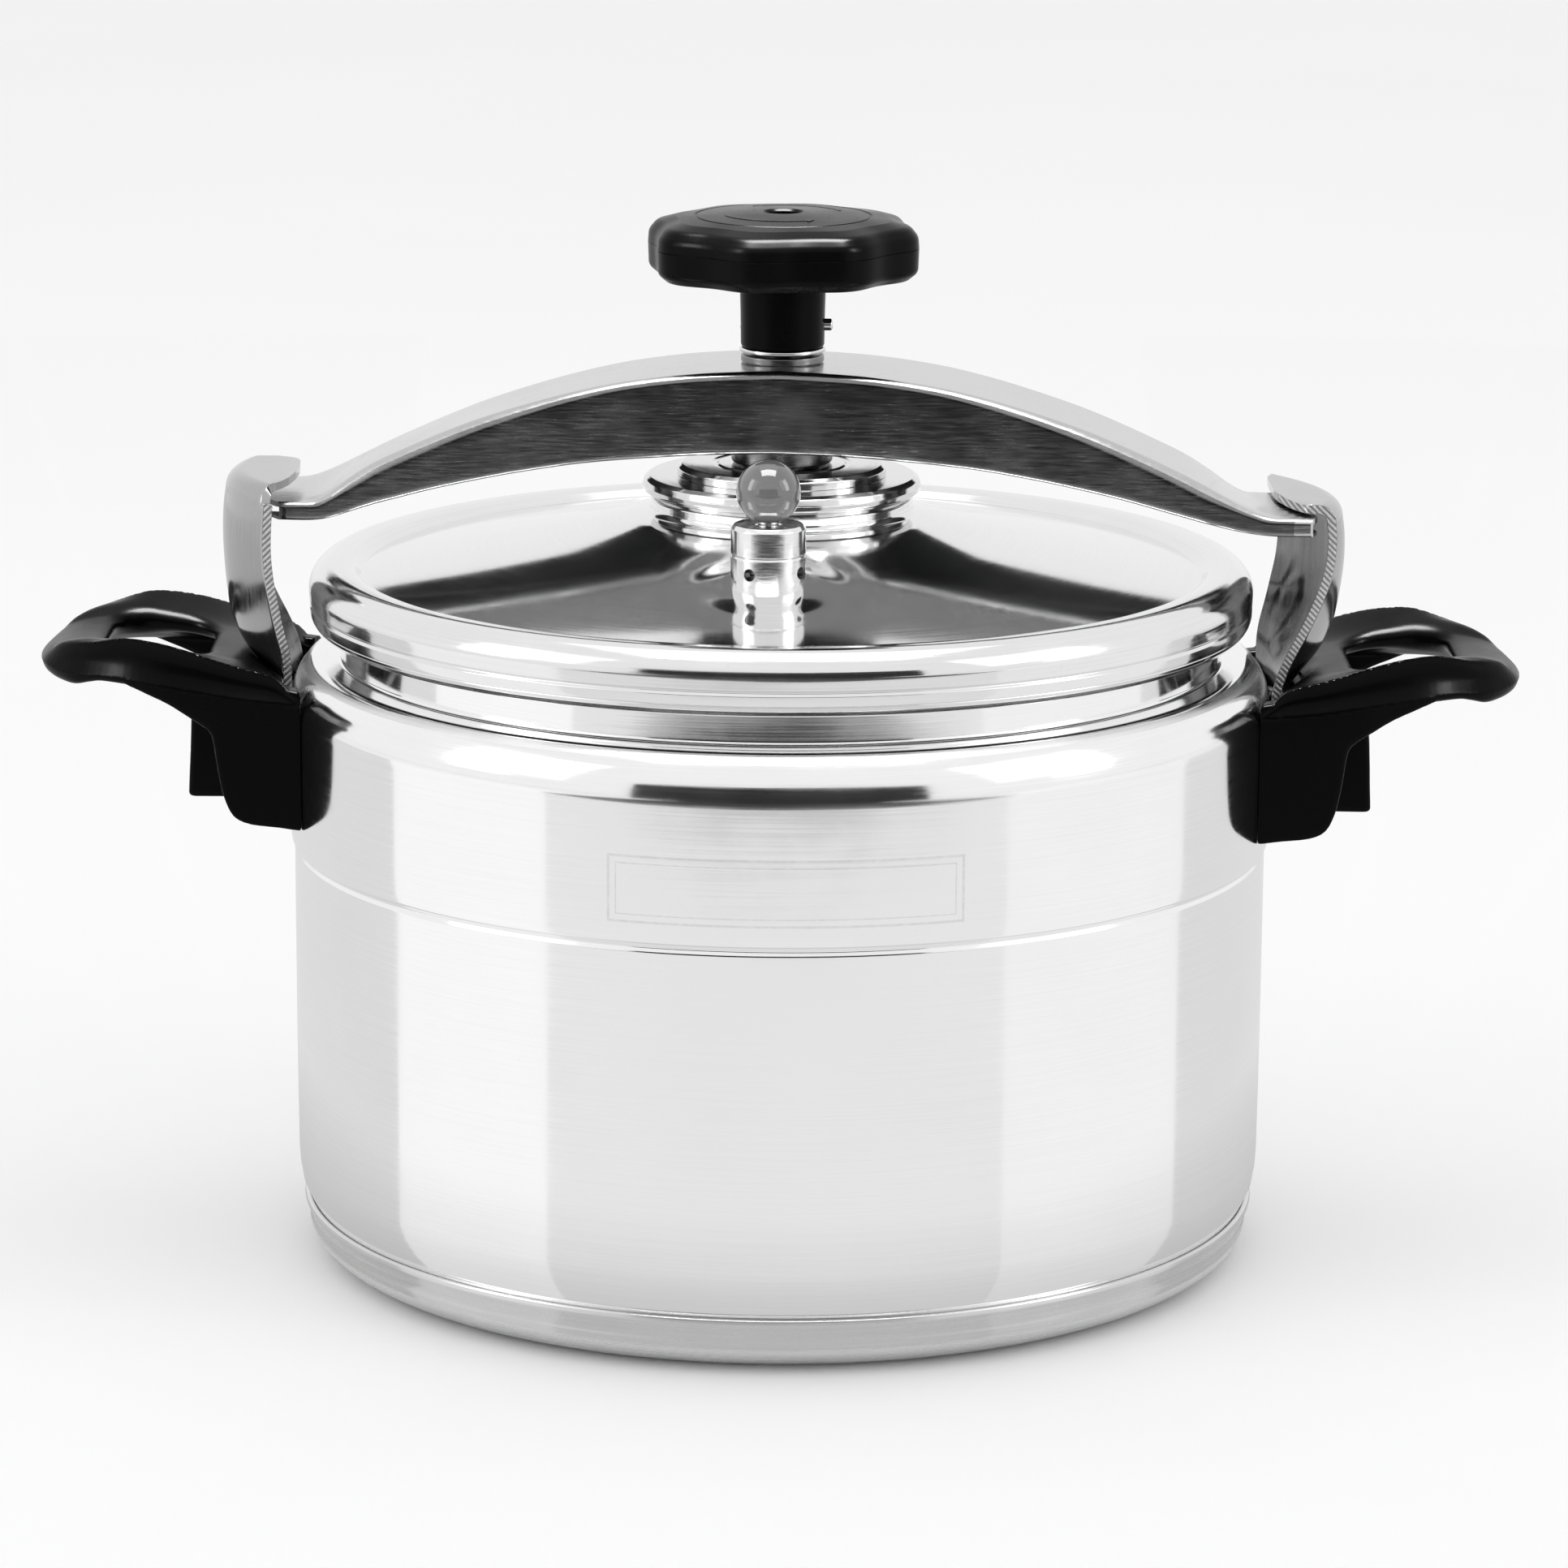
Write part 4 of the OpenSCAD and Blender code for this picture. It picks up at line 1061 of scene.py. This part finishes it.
def poly_sd(x, y, poly):
    """Signed distance to a closed polygon, negative inside."""
    d = np.full(np.broadcast(x, y).shape, 1e9)
    ins = np.zeros(d.shape, bool)
    n = len(poly)
    for i in range(n):
        ax, ay = poly[i]
        bx, by = poly[(i + 1) % n]
        ex, ey = bx - ax, by - ay
        wx, wy = x - ax, y - ay
        t = np.clip((wx * ex + wy * ey) / (ex * ex + ey * ey + 1e-12), 0, 1)
        d = np.minimum(d, (wx - t * ex) ** 2 + (wy - t * ey) ** 2)
        c = (ay > y) != (by > y)
        ins ^= c & (x < (bx - ax) * (y - ay) / ((by - ay) if abs(by - ay) > 1e-12 else 1e-12) + ax)
    d = np.sqrt(d)
    return np.where(ins, -d, d)


def smax(a, b, k):
    h = np.maximum(k - np.abs(a - b), 0) / k
    return np.maximum(a, b) + h * h * k * 0.25


def smin(a, b, k):
    return -smax(-a, -b, k)


plan_half = curve([[112, 35], [128, 35], [140, 34.8], [150, 33.4], [160, 30.6], [169, 26.0], [176, 19.8], [181.6, 11.5],
                   [184.3, 0]], 5)
plan = np.vstack([plan_half, plan_half[::-1][1:] * [1, -1]])
def table(points, m=6):
    c = curve(points, m)
    return c[np.argsort(c[:, 0])]


RIDGE = table([(112, 137.5), (118.4, 143.7), (121.7, 147.4), (125.1, 149.2), (130.2, 150.3), (136.9, 152.2),
               (143.7, 154.4), (151.4, 156.2), (159.2, 156.8), (166.5, 155.0), (173.1, 153.3), (178.2, 151.6),
               (181.5, 149.9), (184.6, 147.6)])
RIDGE[:, 1] += 0.4 * smoothstep(124, 140, RIDGE[:, 0])
CREASE = table([(112, 140.8), (118.4, 141.3), (130.3, 142.4), (138.8, 143.6), (151.6, 145.2), (161.2, 146.2),
                (169.4, 146.2), (176.7, 146.2), (181.0, 146.8), (184.6, 146.9)])
BUMP = table([(112, 0), (140, 0), (150, 0), (160, 0.1), (166, 0.8), (171, 1.0), (177, 0.5), (184.6, 0.0)])
DISH = table([(112, 136), (118, 141.0), (124, 146.2), (130, 148.6), (138, 150.2), (148, 151.6), (158, 152.2),
              (166, 152.6), (174, 152.4), (180, 150.6), (184.6, 147.9)])
LOW = table([(112, 139.6), (130, 141.6), (142, 143.2), (150, 144.2), (157, 145.0), (164.9, 145.4), (168.5, 144.7),
             (172.4, 143.4), (176, 143.3), (179.5, 143.8), (182, 144.6), (184.6, 146.2)])
LEG = curve([[112, 144], [112, 109.9], [116.2, 110.0], [122.2, 110.8], [129, 111.6], [133.0, 113.6], [135.2, 118.1],
             [136.4, 123.4], [137.2, 128.6], [137.7, 132.1], [138.9, 134.9], [144, 138.3], [149.1, 141.3],
             [156, 144.2], [160, 146.4], [152, 150]], 3)


def handle_field(x, y, z):
    """Signed distance (approximately) of the right handle, mm."""
    ay = np.sqrt(y * y + 0.04)
    s = -poly_sd(x, ay, plan)                      # inwards from the plan outline
    zr = np.interp(x, RIDGE[:, 0], RIDGE[:, 1])
    zc = np.interp(x, CREASE[:, 0], CREASE[:, 1])
    zd = np.interp(x, DISH[:, 0], DISH[:, 1])
    zb = np.interp(x, BUMP[:, 0], BUMP[:, 1])
    # hole: a rounded slot across the handle
    hx = np.abs(x - 153.4) - (12.2 - 9.0)
    hy = ay - (19.8 - 9.0)
    hole = np.sqrt(np.maximum(hx, 0) ** 2 + np.maximum(hy, 0) ** 2) + np.minimum(np.maximum(hx, hy), 0) - 9.0
    # top surface: falls from the outer ridge towards the hole
    reach = np.clip(184.2 - x, 3.0, 18.0)
    w0 = smoothstep(-7.0, reach, 0.0)
    w = np.clip((smoothstep(-7.0, reach, s) - w0) / (1 - w0), -0.2, 1)
    zt = zr + zb * np.sin(np.clip(s / (0.6 * reach), 0, 1) * math.pi) ** 2 + (zd - zr) * w
    top = (z - zt) * 0.9
    # side: hollow band between ridge and crease
    q = np.clip((zr - z) / np.maximum(zr - zc, 0.8), 0.0, 1.0)
    deep = np.clip((zr - zc) / 8.0, 0.05, 1.0)
    cove = 1.9 * deep * np.sin(q ** 0.8 * math.pi) + 0.35 * smoothstep(0.94, 1.0, q)
    side = -s + cove
    zlow = np.interp(x, LOW[:, 0], LOW[:, 1]) + 3.6 * smoothstep(1.5, 12.0, s)
    bottom = (zlow - z) * 0.9
    tip = smoothstep(166, 180, x)
    loop = smax(smax(top, side, 0.9 + 3.6 * tip), bottom, 2.2 + 1.6 * tip)
    loop = smax(loop, -hole, 3.4)
    # legs beside the pot
    leg = smax(poly_sd(x, z, LEG), np.maximum(side, 29.6 - ay), 0.9)
    body = np.minimum(loop, leg)
    # boss in the middle
    bx = np.maximum(124.7 - x, x - (145.2 + (z - 140) * -0.045))
    by = ay - 8.0
    bz = np.maximum(112.3 - z, z - 144.4)
    boss = smax(smax(bx, by, 1.4), bz, 1.4)
    body = smin(body, boss, 1.6)
    # seat on the pot, way of the hook, bore of the stud
    rr = np.sqrt(x * x + y * y)
    body = smax(body, 121.42 - rr, 0.4)
    notch = smax((x - (hook_inner(np.clip(y / 22.0, -1, 1), z) + 3.5)) * 0.85, ay - 23.5, 1.0)
    body = smax(body, -notch, 1.2)
    rb = np.sqrt(y * y + (z - 125.4) ** 2)
    body = smax(body, -np.maximum(rb - 6.4, 139.3 - x), 0.5)
    body = np.maximum(body, -(rb - 3.2))
    return body


def surface_net(field, lo, hi, h):
    ax = [np.arange(lo[i], hi[i] + h, h) for i in range(3)]
    X, Y, Z = ax[0][:, None, None], ax[1][None, :, None], ax[2][None, None, :]
    F = np.broadcast_to(field(X, Y, Z), (len(ax[0]), len(ax[1]), len(ax[2]))).copy()
    S = F < 0
    shape = tuple(n - 1 for n in F.shape)
    cnt = np.zeros(shape)
    acc = np.zeros(shape + (3,))
    edges = []
    for a in range(3):
        sl0 = [slice(None)] * 3
        sl1 = [slice(None)] * 3
        sl0[a] = slice(0, -1)
        sl1[a] = slice(1, None)
        cross = S[tuple(sl0)] != S[tuple(sl1)]
        I = np.argwhere(cross)
        f0 = F[tuple(sl0)][cross]
        f1 = F[tuple(sl1)][cross]
        t = f0 / (f0 - f1)
        P = I.astype(float)
        P[:, a] += t
        b, c = (a + 1) % 3, (a + 2) % 3
        for db in (0, -1):
            for dc in (0, -1):
                J = I.copy()
                J[:, b] += db
                J[:, c] += dc
                ok = np.all((J >= 0) & (J < np.array(shape)), axis=1)
                np.add.at(cnt, tuple(J[ok].T), 1)
                np.add.at(acc, tuple(J[ok].T), P[ok])
        edges.append((a, I, S[tuple(sl0)][cross]))
    live = cnt > 0
    ids = -np.ones(shape, int)
    ids[live] = np.arange(live.sum())
    V = acc[live] / cnt[live][:, None]
    quads = []
    for a, I, inside in edges:
        b, c = (a + 1) % 3, (a + 2) % 3
        ok = (I[:, b] > 0) & (I[:, c] > 0) & (I[:, b] < shape[b]) & (I[:, c] < shape[c])
        I, inside = I[ok], inside[ok]

        def at(db, dc):
            J = I.copy()
            J[:, b] += db
            J[:, c] += dc
            return ids[tuple(J.T)]
        q = np.stack([at(-1, -1), at(0, -1), at(0, 0), at(-1, 0)], 1)
        q[~inside] = q[~inside][:, ::-1]
        quads.append(q)
    Q = np.vstack(quads)
    V = V * h + np.array([ax[0][0], ax[1][0], ax[2][0]])
    # walk the points onto the surface
    e = 0.05

    def grad(P):
        g = np.stack([field(P[:, 0] + e, P[:, 1], P[:, 2]) - field(P[:, 0] - e, P[:, 1], P[:, 2]),
                      field(P[:, 0], P[:, 1] + e, P[:, 2]) - field(P[:, 0], P[:, 1] - e, P[:, 2]),
                      field(P[:, 0], P[:, 1], P[:, 2] + e) - field(P[:, 0], P[:, 1], P[:, 2] - e)], 1)
        return g / (2 * e)
    for _ in range(3):
        g = grad(V)
        d = field(V[:, 0], V[:, 1], V[:, 2])
        V = V - np.clip(0.8 * d / (np.sum(g * g, 1) + 0.05), -0.5 * h, 0.5 * h)[:, None] * g
    return V, Q


HV, HQ = surface_net(handle_field, (116, -37, 105), (188, 37, 163), 0.55)
for side, name, node in ((1, "grip_right", "handle_right"), (-1, "grip_left", "handle_left")):
    V = HV.copy()
    far = smoothstep(7.5, 9.5, np.hypot(V[:, 1], V[:, 2] - 125.4))
    if side < 0:
        V[:, 2] += 0.9 * far
        V[:, 0] *= -1
        V[:, 1] *= -1
    else:
        V[:, 2] -= (1.1 + 0.012 * (V[:, 0] - 121)) * far   # this one sits slightly lower
    make(name, V, HQ, M_PLASTIC, "vessel", "handle_plastic", [node], sharp=58)

# ---------------------------------------------------------------- the two springs, copied from the CAD with the spring finish and fixed to the lid
def coil(name, node):
    src = frame["nodes"][node]
    me = src.data.copy()
    me.transform(src.matrix_world)
    me.materials.clear()
    me.materials.append(M_SPRING)
    ob = bpy.data.objects.new(name, me)
    scene.collection.objects.link(ob)
    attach(ob, "lid")
    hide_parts(node)
    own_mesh(ob)


coil("valve_coil", "valve_spring")
coil("safety_coil", "safety_spring")

# ---------------------------------------------------------------- what stays from the CAD gets its finish
for node, mat in (("hook_rivets", M_FAST), ("handle_studs", M_FAST), ("handle_washers", M_TURN), ("handle_nuts", M_FAST),
                  ("bridge_nut", M_SCREW), ("lid_gasket", M_RUBBER), ("hub_nut", M_FAST), ("valve_seal", M_RUBBER),
                  ("valve_nut", M_FAST), ("safety_body", M_SAFE), ("safety_seal", M_RUBBER), ("safety_nut", M_FAST),
                  ("safety_pin", M_SAFE)):
    ob = frame["nodes"][node]
    if not ob.material_slots:
        ob.data.materials.append(mat)
    for s_ in ob.material_slots:
        s_.material = mat

plastic_only = bpy.data.collections.new("plastic_only")
for ob in list(scene.objects):
    if ob.type == "MESH" and any(q.material in (M_PLASTIC, M_KNOB) for q in ob.material_slots):
        plastic_only.objects.link(ob)
for nm, loc, sx, sy, e in (("gloss_top", (0.0, 0.0, 1.6), 1.1, 0.7, 300), ("gloss_left", (-1.5, -0.9, 1.0), 0.3, 0.8, 26),
                           ("gloss_right", (1.5, -0.9, 1.0), 0.3, 0.8, 26)):
    lt = area(nm, loc, (0, 0, 0.17), sx, e, sy)
    lt.visible_diffuse = False
    lt.light_linking.receiver_collection = plastic_only
